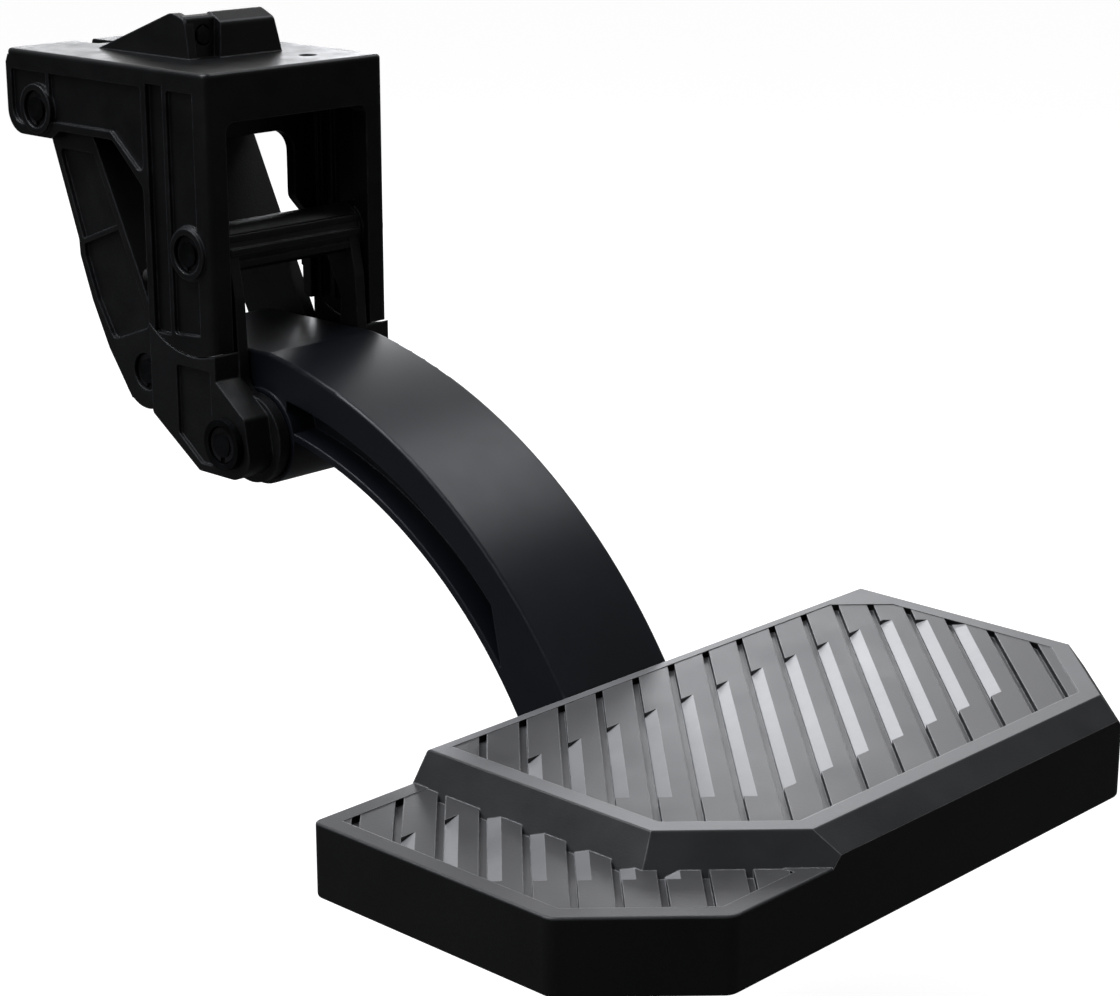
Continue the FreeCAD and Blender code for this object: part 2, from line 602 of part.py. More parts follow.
def front_leg():
    """Left side of the front link: inner leg, ear block and outer cheek."""
    turn_y = HOUSING_FRONT_Y + COLUMN_DEPTH - 1
    leg = side_prism([
        (UPPER_FRONT_Y - LEG_TOP_RADIUS, UPPER_FRONT_Z, 0),
        (HOUSING_FRONT_Y + 1, UPPER_FRONT_Z - 22, 6),
        (HOUSING_FRONT_Y - 1, LOWER_FRONT_Z + 26, 6),
        (LOWER_FRONT_Y - HUB_DISC_RADIUS + 3, LOWER_FRONT_Z + 6, 0),
        (LOWER_FRONT_Y, LOWER_FRONT_Z - HUB_DISC_RADIUS + 1, 0),
        (LOWER_FRONT_Y + HUB_DISC_RADIUS - 2, LOWER_FRONT_Z, 0),
        (turn_y + 5, LOWER_FRONT_Z + 28, 8),
        (turn_y + 3, UPPER_FRONT_Z - 34, 8),
        (UPPER_FRONT_Y + LEG_TOP_RADIUS - 1, UPPER_FRONT_Z - 4, 0),
    ], -FRONT_LEG_OUTER, -FRONT_LEG_INNER)
    top = rod(-FRONT_LEG_OUTER, -FRONT_LEG_INNER, UPPER_FRONT_Y, UPPER_FRONT_Z, BARREL_RADIUS)
    disc = rod(-FRONT_LEG_OUTER, -FRONT_LEG_INNER, LOWER_FRONT_Y, LOWER_FRONT_Z, HUB_DISC_RADIUS)
    wide = HOUSING_HALF_WIDTH + 1
    clear = rod(-wide, -FRONT_LEG_OUTER, UPPER_FRONT_Y, UPPER_FRONT_Z,
                PORTAL_BOTTOM_RADIUS + CHEEK_GAP)
    outer = fuse([ear_block(), cheek()]).cut(clear)
    return fuse([leg, top, disc, outer])


def front_link():
    """Cast H-shaped link: stepped barrel across the portal, legs, and ears at the lower end."""
    barrel = rod(-FRONT_LEG_OUTER, FRONT_LEG_OUTER, UPPER_FRONT_Y, UPPER_FRONT_Z, BARREL_RADIUS)
    fins = []
    for step, drop in enumerate((-6.5, 0.0, 6.5)):
        z = UPPER_FRONT_Z - drop
        y = UPPER_FRONT_Y - BARREL_RADIUS - 1.5 + 1.5 * abs(step - 1)
        fins.append(block(-FRONT_LEG_OUTER, FRONT_LEG_OUTER, y, UPPER_FRONT_Y, z - 1.6, z + 1.6))
    body = fuse([barrel] + fins + both_sides(front_leg()))
    reach = HOUSING_HALF_WIDTH + 5
    return cut(body, [
        rod(-reach, reach, UPPER_FRONT_Y, UPPER_FRONT_Z, BUSH_RADIUS),
        rod(-reach, reach, LOWER_FRONT_Y, LOWER_FRONT_Z, PIN_RADIUS + OPEN_PIVOT_CLEARANCE),
    ])


def arc_edge(a, b, c, x):
    points = [FreeCAD.Vector(x, y, z) for y, z in (a, b, c)]
    return Part.Arc(*points).toShape()


def line_edge(a, b, x):
    return Part.LineSegment(FreeCAD.Vector(x, *a), FreeCAD.Vector(x, *b)).toShape()


def swing_arm():
    """Curved cast arm: root, hub, wide smooth back, recessed sides and flat foot."""
    x0 = -ARM_HALF_WIDTH
    top_start = (ARM_ROOT_FRONT_Y, ARM_TOP_Z)
    top_middle = (ARM_TOP_MIDDLE_Y, ARM_TOP_MIDDLE_Z)
    top_end = (PAD_REAR_Y + 2.5, PAD_TOP_Z - 1.5)
    low_start = (ARM_ROOT_FRONT_Y, ARM_ROOT_BOTTOM_Z)
    low_middle = (ARM_LOW_MIDDLE_Y, ARM_LOW_MIDDLE_Z)
    low_end = (PAD_REAR_Y + 32.0, -277.5)
    heel = (PAD_REAR_Y + HEEL_RUN, FOOT_BOTTOM_Z)
    toe_low = (PAD_REAR_Y - FOOT_LENGTH, FOOT_BOTTOM_Z)
    toe_top = (PAD_REAR_Y - FOOT_LENGTH, FOOT_TOP_Z)
    step_in = (PAD_REAR_Y + 0.4, FOOT_TOP_Z)
    step_up = (PAD_REAR_Y + 0.4, PAD_TOP_Z - 6)
    root_top = (LOWER_REAR_Y, ARM_TOP_Z)
    root_back = (LOWER_REAR_Y + ARM_ROOT_RADIUS, LOWER_REAR_Z)
    root_low = (LOWER_REAR_Y, ARM_ROOT_BOTTOM_Z)
    edges = [line_edge(root_top, top_start, x0), arc_edge(top_start, top_middle, top_end, x0)]
    chain = [top_end, step_up, step_in, toe_top, toe_low, heel, low_end]
    for first, second in zip(chain, chain[1:]):
        edges.append(line_edge(first, second, x0))
    edges.append(arc_edge(low_end, low_middle, low_start, x0))
    edges.append(line_edge(low_start, root_low, x0))
    edges.append(arc_edge(root_low, root_back, root_top, x0))
    body = Part.Face(Part.Wire(edges)).extrude(FreeCAD.Vector(2 * ARM_HALF_WIDTH, 0, 0))
    body = body.makeFillet(ARM_EDGE_RADIUS, arm_back_edges(body))
    root_boss = rod(-REAR_LINK_INNER + 0.5, REAR_LINK_INNER - 0.5, LOWER_REAR_Y, LOWER_REAR_Z,
                    ARM_ROOT_RADIUS - 5)
    hub = rod(-ARM_HUB_HALF_WIDTH, ARM_HUB_HALF_WIDTH, LOWER_FRONT_Y, LOWER_FRONT_Z,
              ARM_HUB_RADIUS)
    lower_arc = arc_edge(low_start, low_middle, low_end, 0).Curve
    bend = lower_arc.Center
    outer = -ARM_HALF_WIDTH - 1
    band = rod(outer, -ARM_WEB_HALF_WIDTH, bend.y, bend.z, lower_arc.Radius + ARM_BAND_HEIGHT)
    band = band.cut(rod(outer - 1, 0, bend.y, bend.z, lower_arc.Radius + ARM_FLANGE))
    reach = ARM_BAND_END_Y + 16
    limit = side_prism([
        (ARM_BAND_START_Y, ARM_TOP_Z, 0),
        (reach, ARM_TOP_Z, 0),
        (reach, -216, 12),
        (ARM_BAND_END_Y, FOOT_BOTTOM_Z, 0),
        (ARM_BAND_START_Y, FOOT_BOTTOM_Z, 0),
    ], outer, 0)
    recess = band.common(limit)
    recess = recess.cut(rod(outer - 1, 0, LOWER_FRONT_Y, LOWER_FRONT_Z, ARM_HUB_RADIUS))
    body = fuse([body, root_boss, hub])
    screws = [rod_z(x, y, FOOT_BOTTOM_Z - 1, FOOT_TOP_Z + 1, SCREW_RADIUS)
              for x, y in screw_places()]
    reach = HOUSING_HALF_WIDTH
    return cut(body, both_sides(recess) + screws + [
        rod(-reach, reach, LOWER_REAR_Y, LOWER_REAR_Z, BUSH_RADIUS),
        rod(-reach, reach, LOWER_FRONT_Y, LOWER_FRONT_Z, PIN_RADIUS),
    ])


def arm_back_edges(body):
    """Long side edges of the arm's back and round root."""
    chosen = []
    for edge in body.Edges:
        box = edge.BoundBox
        if box.XLength < 0.01 and box.ZMax > ARM_TOP_Z - 0.1:
            chosen.append(edge)
    return chosen


def screw_places():
    rear = PAD_REAR_Y - SCREW_REAR_INSET
    places = []
    for y in (rear, rear - SCREW_SPACING_Y):
        for x in (-SCREW_X, SCREW_X):
            places.append((x, y))
    return places


def pad_outline(inset, corner):
    """Plan of the pad's base, drawn in by inset on the free sides."""
    left = -PAD_HALF_LENGTH + inset
    right = PAD_HALF_LENGTH - inset
    front = PAD_FRONT_Y + inset
    rear = PAD_REAR_Y - inset
    ease = inset * 0.41
    return [
        (left, rear, corner / 2),
        (left, PAD_FRONT_Y + LEFT_CHAMFER + ease, corner),
        (-PAD_HALF_LENGTH + LEFT_CHAMFER + ease, front, corner),
        (PAD_HALF_LENGTH - RIGHT_CHAMFER - ease, front, corner),
        (right, PAD_FRONT_Y + RIGHT_CHAMFER + ease, corner),
        (right, rear, corner / 2),
    ]


def trim(body, point, normal):
    """Take away everything beyond the plane through point."""
    turn = FreeCAD.Rotation(FreeCAD.Vector(0, 0, 1), FreeCAD.Vector(*normal))
    reach = 4 * PAD_HALF_LENGTH
    beyond = Part.makeBox(reach, reach, reach / 2, FreeCAD.Vector(-reach / 2, -reach / 2, 0))
    beyond.Placement = FreeCAD.Placement(FreeCAD.Vector(*point), turn)
    return body.cut(beyond)


def platform():
    """Raised platform with sloping sides, kept inside the base's plan."""
    body = plan_prism(pad_outline(0, PAD_CORNER_RADIUS), LEDGE_Z - TREAD_DEPTH - 1, PAD_TOP_Z)
    left = -PAD_HALF_LENGTH + LEDGE_LENGTH
    right = PAD_HALF_LENGTH - PLATFORM_RIGHT_INSET
    front = PAD_FRONT_Y + PLATFORM_FRONT_INSET
    run = PLATFORM_RIGHT_INSET
    slopes = (
        ((left, PAD_REAR_Y), (-1, 0), run, LEDGE_DROP),
        ((right, PAD_REAR_Y), (1, 0), run, LEDGE_DROP),
        ((left, front), (0, -1), PLATFORM_FRONT_INSET, PLATFORM_FRONT_DROP),
        ((left + PLATFORM_LEFT_CHAMFER, front), (-1, -1), run, LEDGE_DROP),
        ((right - PLATFORM_RIGHT_CHAMFER, front), (1, -1), run, LEDGE_DROP),
    )
    for (x, y), (along, across), out, drop in slopes:
        size = math.hypot(along, across)
        normal = (along / size * drop, across / size * drop, out)
        body = trim(body, (x, y, PAD_TOP_Z), normal)
    return round_top(body, PAD_TOP_Z)


def round_top(body, top_z):
    """Round the edges that lie in the plane at top_z."""
    top = [edge for edge in body.Edges if edge.BoundBox.ZMin > top_z - 0.01]
    return body.makeFillet(PAD_EDGE_RADIUS, top)


def tread_bars(field, facets, top_z, floor_z):
    """Diagonal bars in a recessed field, with a sloping facet on each within the middle area."""
    bars = []
    wedges = []
    run = PAD_HALF_LENGTH + PAD_DEPTH
    turn = FreeCAD.Rotation(FreeCAD.Vector(0, 0, 1), 45)
    origin = FreeCAD.Vector(PAD_HALF_LENGTH - PLATFORM_RIGHT_INSET, PAD_REAR_Y, 0)
    placement = FreeCAD.Placement(origin, turn)
    across = BAR_PITCH * math.sin(math.radians(45))
    count = int(run / across)
    for step in range(-count, count + 1):
        low = step * across
        high = low + BAR_WIDTH
        bar = block(-run, run, low, high, floor_z - 0.5, top_z)
        bar.Placement = placement
        bar = bar.common(field)
        if bar.Volume < 1:
            continue
        bars.extend(bar.Solids)
        slope = BAR_FACET_DROP / BAR_FACET_WIDTH
        wedge = side_prism([
            (high - BAR_FACET_WIDTH, top_z, 0),
            (high + 0.5, top_z - BAR_FACET_DROP - 0.5 * slope, 0),
            (high + 0.5, top_z + 1, 0),
            (high - BAR_FACET_WIDTH, top_z + 1, 0),
        ], -run, run)
        wedge.Placement = placement
        wedge = wedge.common(facets)
        wedges.extend(wedge.Solids)
    return Part.makeCompound(bars).cut(Part.makeCompound(wedges)).Solids


def platform_field(rim, rear_inset, low_z, high_z):
    """Part of the platform's top inside a rim, with its rear right corner cut off."""
    left = -PAD_HALF_LENGTH + LEDGE_LENGTH + min(rim, TREAD_RIM)
    right = PAD_HALF_LENGTH - PLATFORM_RIGHT_INSET - min(rim, TREAD_RIM)
    front = PAD_FRONT_Y + PLATFORM_FRONT_INSET + rim
    rear = PAD_REAR_Y - rear_inset
    corner = rim * 0.41
    left_run = PLATFORM_LEFT_CHAMFER + corner
    right_run = PLATFORM_RIGHT_CHAMFER + corner
    left_far = -PAD_HALF_LENGTH + LEDGE_LENGTH + left_run
    right_far = PAD_HALF_LENGTH - PLATFORM_RIGHT_INSET - right_run
    base = PAD_FRONT_Y + PLATFORM_FRONT_INSET
    left_rise = base + left_run + rim - min(rim, TREAD_RIM)
    right_rise = base + right_run + rim - min(rim, TREAD_RIM)
    return plan_prism([
        (left, rear, 0),
        (left, left_rise, 0),
        (left_far, front, 0),
        (right_far, front, 0),
        (right, right_rise, 0),
        (right, rear - REAR_CORNER_CUT, 0),
        (right - REAR_CORNER_CUT, rear, 0),
    ], low_z, high_z)


def ledge_field(rim, rear_inset, low_z, high_z):
    """Part of the lower step's top inside a rim."""
    left = -PAD_HALF_LENGTH + min(rim, TREAD_RIM)
    front = PAD_FRONT_Y + rim
    inner = -PAD_HALF_LENGTH + LEDGE_LENGTH + 30
    run = LEFT_CHAMFER + rim * 0.41
    return plan_prism([
        (left, PAD_REAR_Y - rear_inset, 0),
        (left, PAD_FRONT_Y + run + rim - min(rim, TREAD_RIM), 0),
        (-PAD_HALF_LENGTH + run, front, 0),
        (inner, front, 0),
        (inner, PAD_REAR_Y - rear_inset, 0),
    ], low_z, high_z)


def step_pad():
    """Cast pad: two levels with recessed barred treads, hollow and ribbed below."""
    base = plan_prism(pad_outline(0, PAD_CORNER_RADIUS), PAD_BOTTOM_Z, LEDGE_Z)
    low_rim = [edge for edge in base.Edges if edge.BoundBox.ZMax < PAD_BOTTOM_Z + 0.01]
    base = round_top(base.makeFillet(EDGE_RADIUS, low_rim), LEDGE_Z)
    raised = platform()
    hollow_low = plan_prism(pad_outline(PAD_WALL, PAD_CORNER_RADIUS / 2), PAD_BOTTOM_Z - 1,
                            LEDGE_Z - DECK_THICKNESS)
    hollow_high = block(-PAD_HALF_LENGTH + LEDGE_LENGTH + PAD_WALL,
                        PAD_HALF_LENGTH - PLATFORM_RIGHT_INSET - PAD_WALL,
                        PAD_FRONT_Y + HIGH_HOLLOW_FRONT, PAD_REAR_Y - PAD_WALL,
                        PAD_BOTTOM_Z - 1, DECK_BOTTOM_Z)
    low_floor = LEDGE_Z - TREAD_DEPTH
    high_floor = PAD_TOP_Z - TREAD_DEPTH
    rear_rim = TREAD_RIM * 0.6
    low_recess = ledge_field(TREAD_RIM, TREAD_RIM, low_floor, LEDGE_Z + 1).cut(raised)
    high_recess = platform_field(TREAD_RIM, rear_rim, high_floor, PAD_TOP_Z + 1)
    body = fuse([base, raised])
    body = cut(body, [hollow_low, hollow_high, low_recess, high_recess])
    low_top = LEDGE_Z - DECK_THICKNESS
    half = PAD_RIB_THICKNESS / 2
    ribs = []
    for step in range(3):
        x = ARM_HALF_WIDTH + PAD_RIB_GAP + step * PAD_RIB_PITCH
        for side in (-x, x):
            ribs.append(block(side - half, side + half, PAD_FRONT_Y + PAD_WALL / 2,
                              PAD_REAR_Y - PAD_WALL / 2, PAD_BOTTOM_Z + 6, low_top + 1))
            if step < 2:
                ribs.append(block(side - half, side + half, PAD_FRONT_Y + HIGH_HOLLOW_FRONT - 1,
                                  PAD_REAR_Y - PAD_WALL / 2, low_top - 1, DECK_BOTTOM_Z + 1))
    toe_rib_y = PAD_REAR_Y - FOOT_LENGTH - PAD_RIB_THICKNESS
    for y in (toe_rib_y, (toe_rib_y + PAD_FRONT_Y) / 2):
        ribs.append(block(-PAD_HALF_LENGTH + PAD_WALL / 2, PAD_HALF_LENGTH - PAD_WALL / 2,
                          y - half, y + half, PAD_BOTTOM_Z + 6, low_top + 1))
    inside = plan_prism(pad_outline(PAD_WALL / 2, PAD_CORNER_RADIUS / 2), PAD_BOTTOM_Z,
                        DECK_BOTTOM_Z + 1)
    ribs = [rib.common(inside) for rib in ribs]
    bosses = [rod_z(x, y, FOOT_TOP_Z, DECK_BOTTOM_Z + 1, SCREW_BOSS_RADIUS)
              for x, y in screw_places()]
    high_area = platform_field(TREAD_RIM - BAR_OVERLAP, rear_rim - BAR_OVERLAP,
                               high_floor - 1, PAD_TOP_Z)
    high_facets = platform_field(TREAD_RIM + BAR_FACET_FRONT, BAR_FACET_REAR,
                                 high_floor - 1, PAD_TOP_Z + 2)
    wall_left = -PAD_HALF_LENGTH + LEDGE_LENGTH + PAD_WALL / 2
    beyond = block(wall_left, PAD_HALF_LENGTH, PAD_FRONT_Y + HIGH_HOLLOW_FRONT - PAD_WALL / 2,
                   PAD_REAR_Y, PAD_BOTTOM_Z, PAD_TOP_Z)
    low_area = ledge_field(TREAD_RIM - BAR_OVERLAP, TREAD_RIM - BAR_OVERLAP,
                           low_floor - 1, LEDGE_Z).cut(beyond)
    low_facets = ledge_field(TREAD_RIM + BAR_FACET_FRONT, BAR_FACET_REAR,
                             low_floor - 1, LEDGE_Z + 2)
    bars = tread_bars(high_area, high_facets, PAD_TOP_Z - BAR_TOP_DROP, high_floor)
    bars += tread_bars(low_area, low_facets, LEDGE_Z - BAR_TOP_DROP, low_floor)
    body = fuse([body] + ribs + bosses + bars)
    notch_half = ARM_HALF_WIDTH + NOTCH_GAP
    notch = block(-notch_half, notch_half, PAD_REAR_Y - PAD_WALL - 1, PAD_REAR_Y + 1,
                  PAD_BOTTOM_Z - 1, FOOT_TOP_Z + 0.4)
    holes = [rod_z(x, y, FOOT_TOP_Z - 1, FOOT_TOP_Z + SCREW_DEPTH, SCREW_RADIUS)
             for x, y in screw_places()]
    return cut(body, [notch] + holes)


def pivot_pin(y, z, seat, end):
    """Straight pin with a ring groove just outside the seat at either end."""
    return cut(rod(-end, end, y, z, PIN_RADIUS), both_sides(ring_space(y, z, seat)))


def ring_space(y, z, seat):
    """Groove for the left retaining ring."""
    x1 = -seat - RING_PLAY
    space = rod(x1 - RING_THICKNESS, x1, y, z, PIN_RADIUS + 1)
    return space.cut(rod(x1 - RING_THICKNESS - 1, x1 + 1, y, z, PIN_RADIUS - RING_GROOVE_DEPTH))


def retaining_ring(y, z, seat):
    """Open ring that sits in the pin's left groove."""
    x1 = -seat - RING_PLAY
    x0 = x1 - RING_THICKNESS
    body = rod(x0, x1, y, z, RING_RADIUS)
    hole = rod(x0 - 1, x1 + 1, y, z, PIN_RADIUS - RING_GROOVE_DEPTH)
    gap = block(x0 - 1, x1 + 1, y - RING_OPENING / 2, y + RING_OPENING / 2,
                z - RING_RADIUS - 1, z)
    return body.cut(hole).cut(gap)


def bush(x0, x1, y, z):
    sleeve = rod(x0, x1, y, z, BUSH_RADIUS)
    return sleeve.cut(rod(x0 - 1, x1 + 1, y, z, PIN_RADIUS + RUNNING_CLEARANCE))


def washer(x0, x1, y, z, radius, hole):
    return rod(x0, x1, y, z, radius).cut(rod(x0 - 1, x1 + 1, y, z, hole))


def torsion_spring():
    """Outer shape of the coil about the upper rear pin, with its two straight legs."""
    outer = SPRING_MEAN_RADIUS + SPRING_WIRE_RADIUS
    inner = SPRING_MEAN_RADIUS - SPRING_WIRE_RADIUS
    coil = rod(-SPRING_HALF_LENGTH, SPRING_HALF_LENGTH, UPPER_REAR_Y, UPPER_REAR_Z, outer)
    coil = coil.cut(rod(-SPRING_HALF_LENGTH - 1, SPRING_HALF_LENGTH + 1, UPPER_REAR_Y,
                        UPPER_REAR_Z, inner))
    wire = SPRING_WIRE_RADIUS
    left_x = -SPRING_HALF_LENGTH + wire + 0.4
    right_x = SPRING_HALF_LENGTH - wire - 0.4
    start = FreeCAD.Vector(left_x, UPPER_REAR_Y, UPPER_REAR_Z + SPRING_MEAN_RADIUS)
    knee = FreeCAD.Vector(left_x, rear_line_y(-34) - 4.6, -34)
    end = FreeCAD.Vector(left_x, rear_line_y(-60) - 2.4, -60)
    pieces = [coil]
    for a, b in ((start, knee), (knee, end)):
        pieces.append(Part.makeCylinder(wire, (b - a).Length, a, b - a))
    pieces.append(Part.makeSphere(wire + 0.1, knee))
    rest_y = UPPER_REAR_Y + 20.0
    rest = FreeCAD.Vector(right_x, rest_y, -PLATE_THICKNESS - wire - 0.1)
    begin = FreeCAD.Vector(right_x, UPPER_REAR_Y, UPPER_REAR_Z + SPRING_MEAN_RADIUS)
    pieces.append(Part.makeCylinder(wire, (rest - begin).Length, begin, rest - begin))
    return fuse(pieces)


def stop_bumper():
    """Rubber stop on the portal's rear edge, met by the rear link's leg."""
    low_z = BUMPER_Z - BUMPER_RADIUS
    end_y = rear_line_y(low_z) - BUMPER_GAP
    body = rod_y(-BUMPER_X, PORTAL_REAR_Y, end_y, BUMPER_Z, BUMPER_RADIUS)
    return body.cut(bumper_stud())


def bumper_stud():
    """Threaded stud that holds a rubber stop in its seat."""
    start = PORTAL_REAR_Y - STUD_LENGTH / 2
    return rod_y(-BUMPER_X, start, start + STUD_LENGTH, BUMPER_Z, STUD_RADIUS)


def pad_screw(x, y):
    """Flanged hexagon screw from below, through the arm's foot into the pad."""
    shank = rod_z(x, y, FOOT_BOTTOM_Z - WASHER_THICKNESS, FOOT_TOP_Z + SCREW_DEPTH - 1,
                  SCREW_RADIUS)
    head_z = FOOT_BOTTOM_Z - WASHER_THICKNESS - SCREW_HEAD_HEIGHT
    head = hexagon(SCREW_FLATS, SCREW_HEAD_HEIGHT, (x, y, head_z), (0, 0, 1))
    return fuse([shank, head])


def pad_washer(x, y):
    low_z = FOOT_BOTTOM_Z - WASHER_THICKNESS
    body = rod_z(x, y, low_z, FOOT_BOTTOM_Z, SCREW_WASHER_RADIUS)
    return body.cut(rod_z(x, y, low_z - 1, FOOT_BOTTOM_Z + 1, SCREW_RADIUS))


def clamp_bolt():
    """Small hexagon bolt through the low wall in the hook block's notch."""
    shank = rod_y(CLAMP_BOLT_X, CLAMP_FRONT_Y, CLAMP_REAR_Y + CLAMP_NUT_HEIGHT + 1, CLAMP_BOLT_Z,
                  CLAMP_BOLT_RADIUS)
    head = hexagon(CLAMP_FLATS, CLAMP_HEAD_HEIGHT, (CLAMP_BOLT_X, CLAMP_FRONT_Y, CLAMP_BOLT_Z),
                   (0, -1, 0))
    return fuse([shank, head])


def clamp_nut():
    nut = hexagon(CLAMP_FLATS, CLAMP_NUT_HEIGHT, (CLAMP_BOLT_X, CLAMP_REAR_Y, CLAMP_BOLT_Z),
                  (0, 1, 0))
    return nut.cut(rod_y(CLAMP_BOLT_X, CLAMP_REAR_Y - 1, CLAMP_REAR_Y + CLAMP_NUT_HEIGHT + 1,
                         CLAMP_BOLT_Z, CLAMP_BOLT_RADIUS))


def save_pivot(name, y, z, seat, end):
    """Write a pivot's pin and its two rings."""
    save(name + "_pin", [pivot_pin(y, z, seat, end)])
    save(name + "_rings", both_sides(retaining_ring(y, z, seat)))


def build():
    save("bracket_housing", [bracket_housing()])
    save("rear_link", [rear_link()])
    save("front_link", [front_link()])
    save("swing_arm", [swing_arm()])
    save("step_pad", [step_pad()])

    ring_face = HOUSING_HALF_WIDTH + BOSS_RING_HEIGHT
    seat = ring_face - RING_SEAT_DEPTH
    save_pivot("upper_rear", UPPER_REAR_Y, UPPER_REAR_Z, seat, ring_face - PIN_END_DEPTH)
    save_pivot("upper_front", UPPER_FRONT_Y, UPPER_FRONT_Z, seat, ring_face - PIN_END_DEPTH)
    save_pivot("lower_rear", LOWER_REAR_Y, LOWER_REAR_Z, REAR_LINK_OUTER - RING_SEAT_DEPTH,
               REAR_LINK_OUTER - PIN_END_DEPTH)
    cover_face = HOUSING_HALF_WIDTH + COVER_GAP + COVER_THICKNESS
    cover_seat = cover_face - COVER_SEAT_DEPTH
    save_pivot("lower_front", LOWER_FRONT_Y, LOWER_FRONT_Z, cover_seat, cover_face - 0.2)
    cover = washer(-cover_face, -HOUSING_HALF_WIDTH - COVER_GAP, LOWER_FRONT_Y, LOWER_FRONT_Z,
                   COVER_RADIUS, PIN_RADIUS)
    cover = cover.cut(rod(-cover_face - 1, -cover_seat, LOWER_FRONT_Y, LOWER_FRONT_Z,
                          RING_SEAT_RADIUS))
    save("lower_front_washers", both_sides(cover))

    rear_bush = bush(-REAR_LINK_OUTER, -REAR_LINK_OUTER + BUSH_LENGTH, UPPER_REAR_Y, UPPER_REAR_Z)
    save("upper_rear_bushes", both_sides(rear_bush))
    front_bush = bush(-FRONT_LEG_OUTER, -FRONT_LEG_OUTER + BUSH_LENGTH, UPPER_FRONT_Y,
                      UPPER_FRONT_Z)
    save("upper_front_bushes", both_sides(front_bush))
    root_face = REAR_LINK_INNER - 0.5
    root_bush = bush(-root_face, -root_face + BUSH_LENGTH, LOWER_REAR_Y, LOWER_REAR_Z)
    save("lower_rear_bushes", both_sides(root_bush))

    side = washer(-SKIN_INNER, -REAR_LINK_OUTER - 0.1, UPPER_REAR_Y, UPPER_REAR_Z, 11.0,
                  PIN_RADIUS + 0.1)
    save("side_washers", both_sides(side))

    save("torsion_spring", [torsion_spring()])
    save("stop_bumpers", both_sides(stop_bumper()))
    save("bumper_studs", both_sides(bumper_stud()))
    save("pad_screws", [pad_screw(x, y) for x, y in screw_places()])
    save("pad_washers", [pad_washer(x, y) for x, y in screw_places()])
    save("clamp_bolt", [clamp_bolt()])
    save("clamp_nut", [clamp_nut()])


build()
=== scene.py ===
import json
import math

import bmesh
import bpy
from bpy.props import FloatProperty, FloatVectorProperty, IntProperty, PointerProperty
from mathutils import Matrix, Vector


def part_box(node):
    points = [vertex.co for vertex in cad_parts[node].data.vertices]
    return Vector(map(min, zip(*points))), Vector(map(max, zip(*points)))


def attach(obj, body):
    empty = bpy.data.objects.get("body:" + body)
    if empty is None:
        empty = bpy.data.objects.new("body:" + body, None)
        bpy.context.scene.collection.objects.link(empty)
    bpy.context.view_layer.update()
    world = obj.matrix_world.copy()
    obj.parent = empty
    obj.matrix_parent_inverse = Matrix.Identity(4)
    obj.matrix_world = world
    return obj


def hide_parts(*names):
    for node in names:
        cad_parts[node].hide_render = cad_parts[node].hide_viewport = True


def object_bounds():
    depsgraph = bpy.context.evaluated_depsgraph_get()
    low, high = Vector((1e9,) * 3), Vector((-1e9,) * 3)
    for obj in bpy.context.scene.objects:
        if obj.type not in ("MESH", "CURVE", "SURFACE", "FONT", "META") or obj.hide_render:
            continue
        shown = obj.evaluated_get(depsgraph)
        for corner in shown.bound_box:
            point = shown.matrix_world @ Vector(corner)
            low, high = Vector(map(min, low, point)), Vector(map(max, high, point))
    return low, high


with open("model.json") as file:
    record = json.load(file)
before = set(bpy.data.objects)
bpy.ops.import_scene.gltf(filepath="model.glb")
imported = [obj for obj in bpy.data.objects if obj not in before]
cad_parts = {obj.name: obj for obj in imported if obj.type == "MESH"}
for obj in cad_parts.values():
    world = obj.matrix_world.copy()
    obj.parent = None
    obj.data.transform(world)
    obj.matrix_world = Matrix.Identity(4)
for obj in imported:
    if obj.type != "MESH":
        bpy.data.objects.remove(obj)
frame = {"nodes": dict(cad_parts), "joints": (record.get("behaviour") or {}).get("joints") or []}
CAD_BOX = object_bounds()

bl_info = {
    "name": "Retractable truck bed step",
    "version": (1, 0, 0),
    "blender": (4, 5, 0),
    "location": "View3D > Sidebar > Bed Step",
    "description": "Finishes, small pieces and stage of an under-bed step",
    "category": "Object",
}

MM = 0.001

# The camera stands at the photo's angle, on the left in front of the step and above it.
CAMERA_PLACE = (-848.6 * MM, -1056.0 * MM, 159.4 * MM)
CAMERA_TURN = -46.58
CAMERA_PITCH = 16.3
CAMERA_LENS = 85.73
SENSOR_WIDTH = 36.0

# The pad's tread: the lower level lies this far under the upper one. Each level's rim is its
# highest face, the bars' tops lie less than TREAD_DEPTH under it and the grooves lie deeper.
LEDGE_DROP = 12.5 * MM
RIM_DEPTH = 0.15 * MM
TREAD_DEPTH = 0.8 * MM
ABOVE_LEDGE = 0.3 * MM

# Faces of the pad by the height of their normal: flat tops, facets and slopes. Facets facing the
# back get a painted highlight.
FLAT_UP = 0.975
FACET_UP = 0.85
FACET_BACK = 0.18
SLOPE_UP = 0.25

# Painted light: the tread's bars and facets are painted darker at the left and paler towards the
# right, between these parts of the pad's length.
PAINTED_LIGHT_START = 0.1
PAINTED_LIGHT_END = 0.55

# Noise scales per metre, and the radii that rounded edges seem to have. Near these edges the
# coats are painted paler in patches, partly as wear and partly as a painted highlight.
BROAD_SCALE = 22.0
BLOTCH_SCALE = 60.0
CHIP_SCALE = 130.0
PAD_BROAD_SCALE = 25.0
PAD_CHIP_SCALE = 160.0
STAIN_SCALE = 90.0
RUBBER_SKIN_SCALE = 1400.0
RUBBER_BROAD_SCALE = 150.0
CASTING_EDGE = 1.2 * MM
PAD_EDGE = 0.8 * MM
CASTING_EDGE_HIGHLIGHT_AND_WEAR = 14.0

# The spring's coil: points in a turn, sides of the wire, room at each end, and how far the knee
# of its lower leg stands behind and above the leg's foot.
TURN_STEPS = 24
WIRE_SIDES = 14
COIL_ROOM = 0.4 * MM
KNEE_BACK = 10.8 * MM
KNEE_UP = 24.2 * MM
LEG_POINTS = 2
START_TURN = 0.25

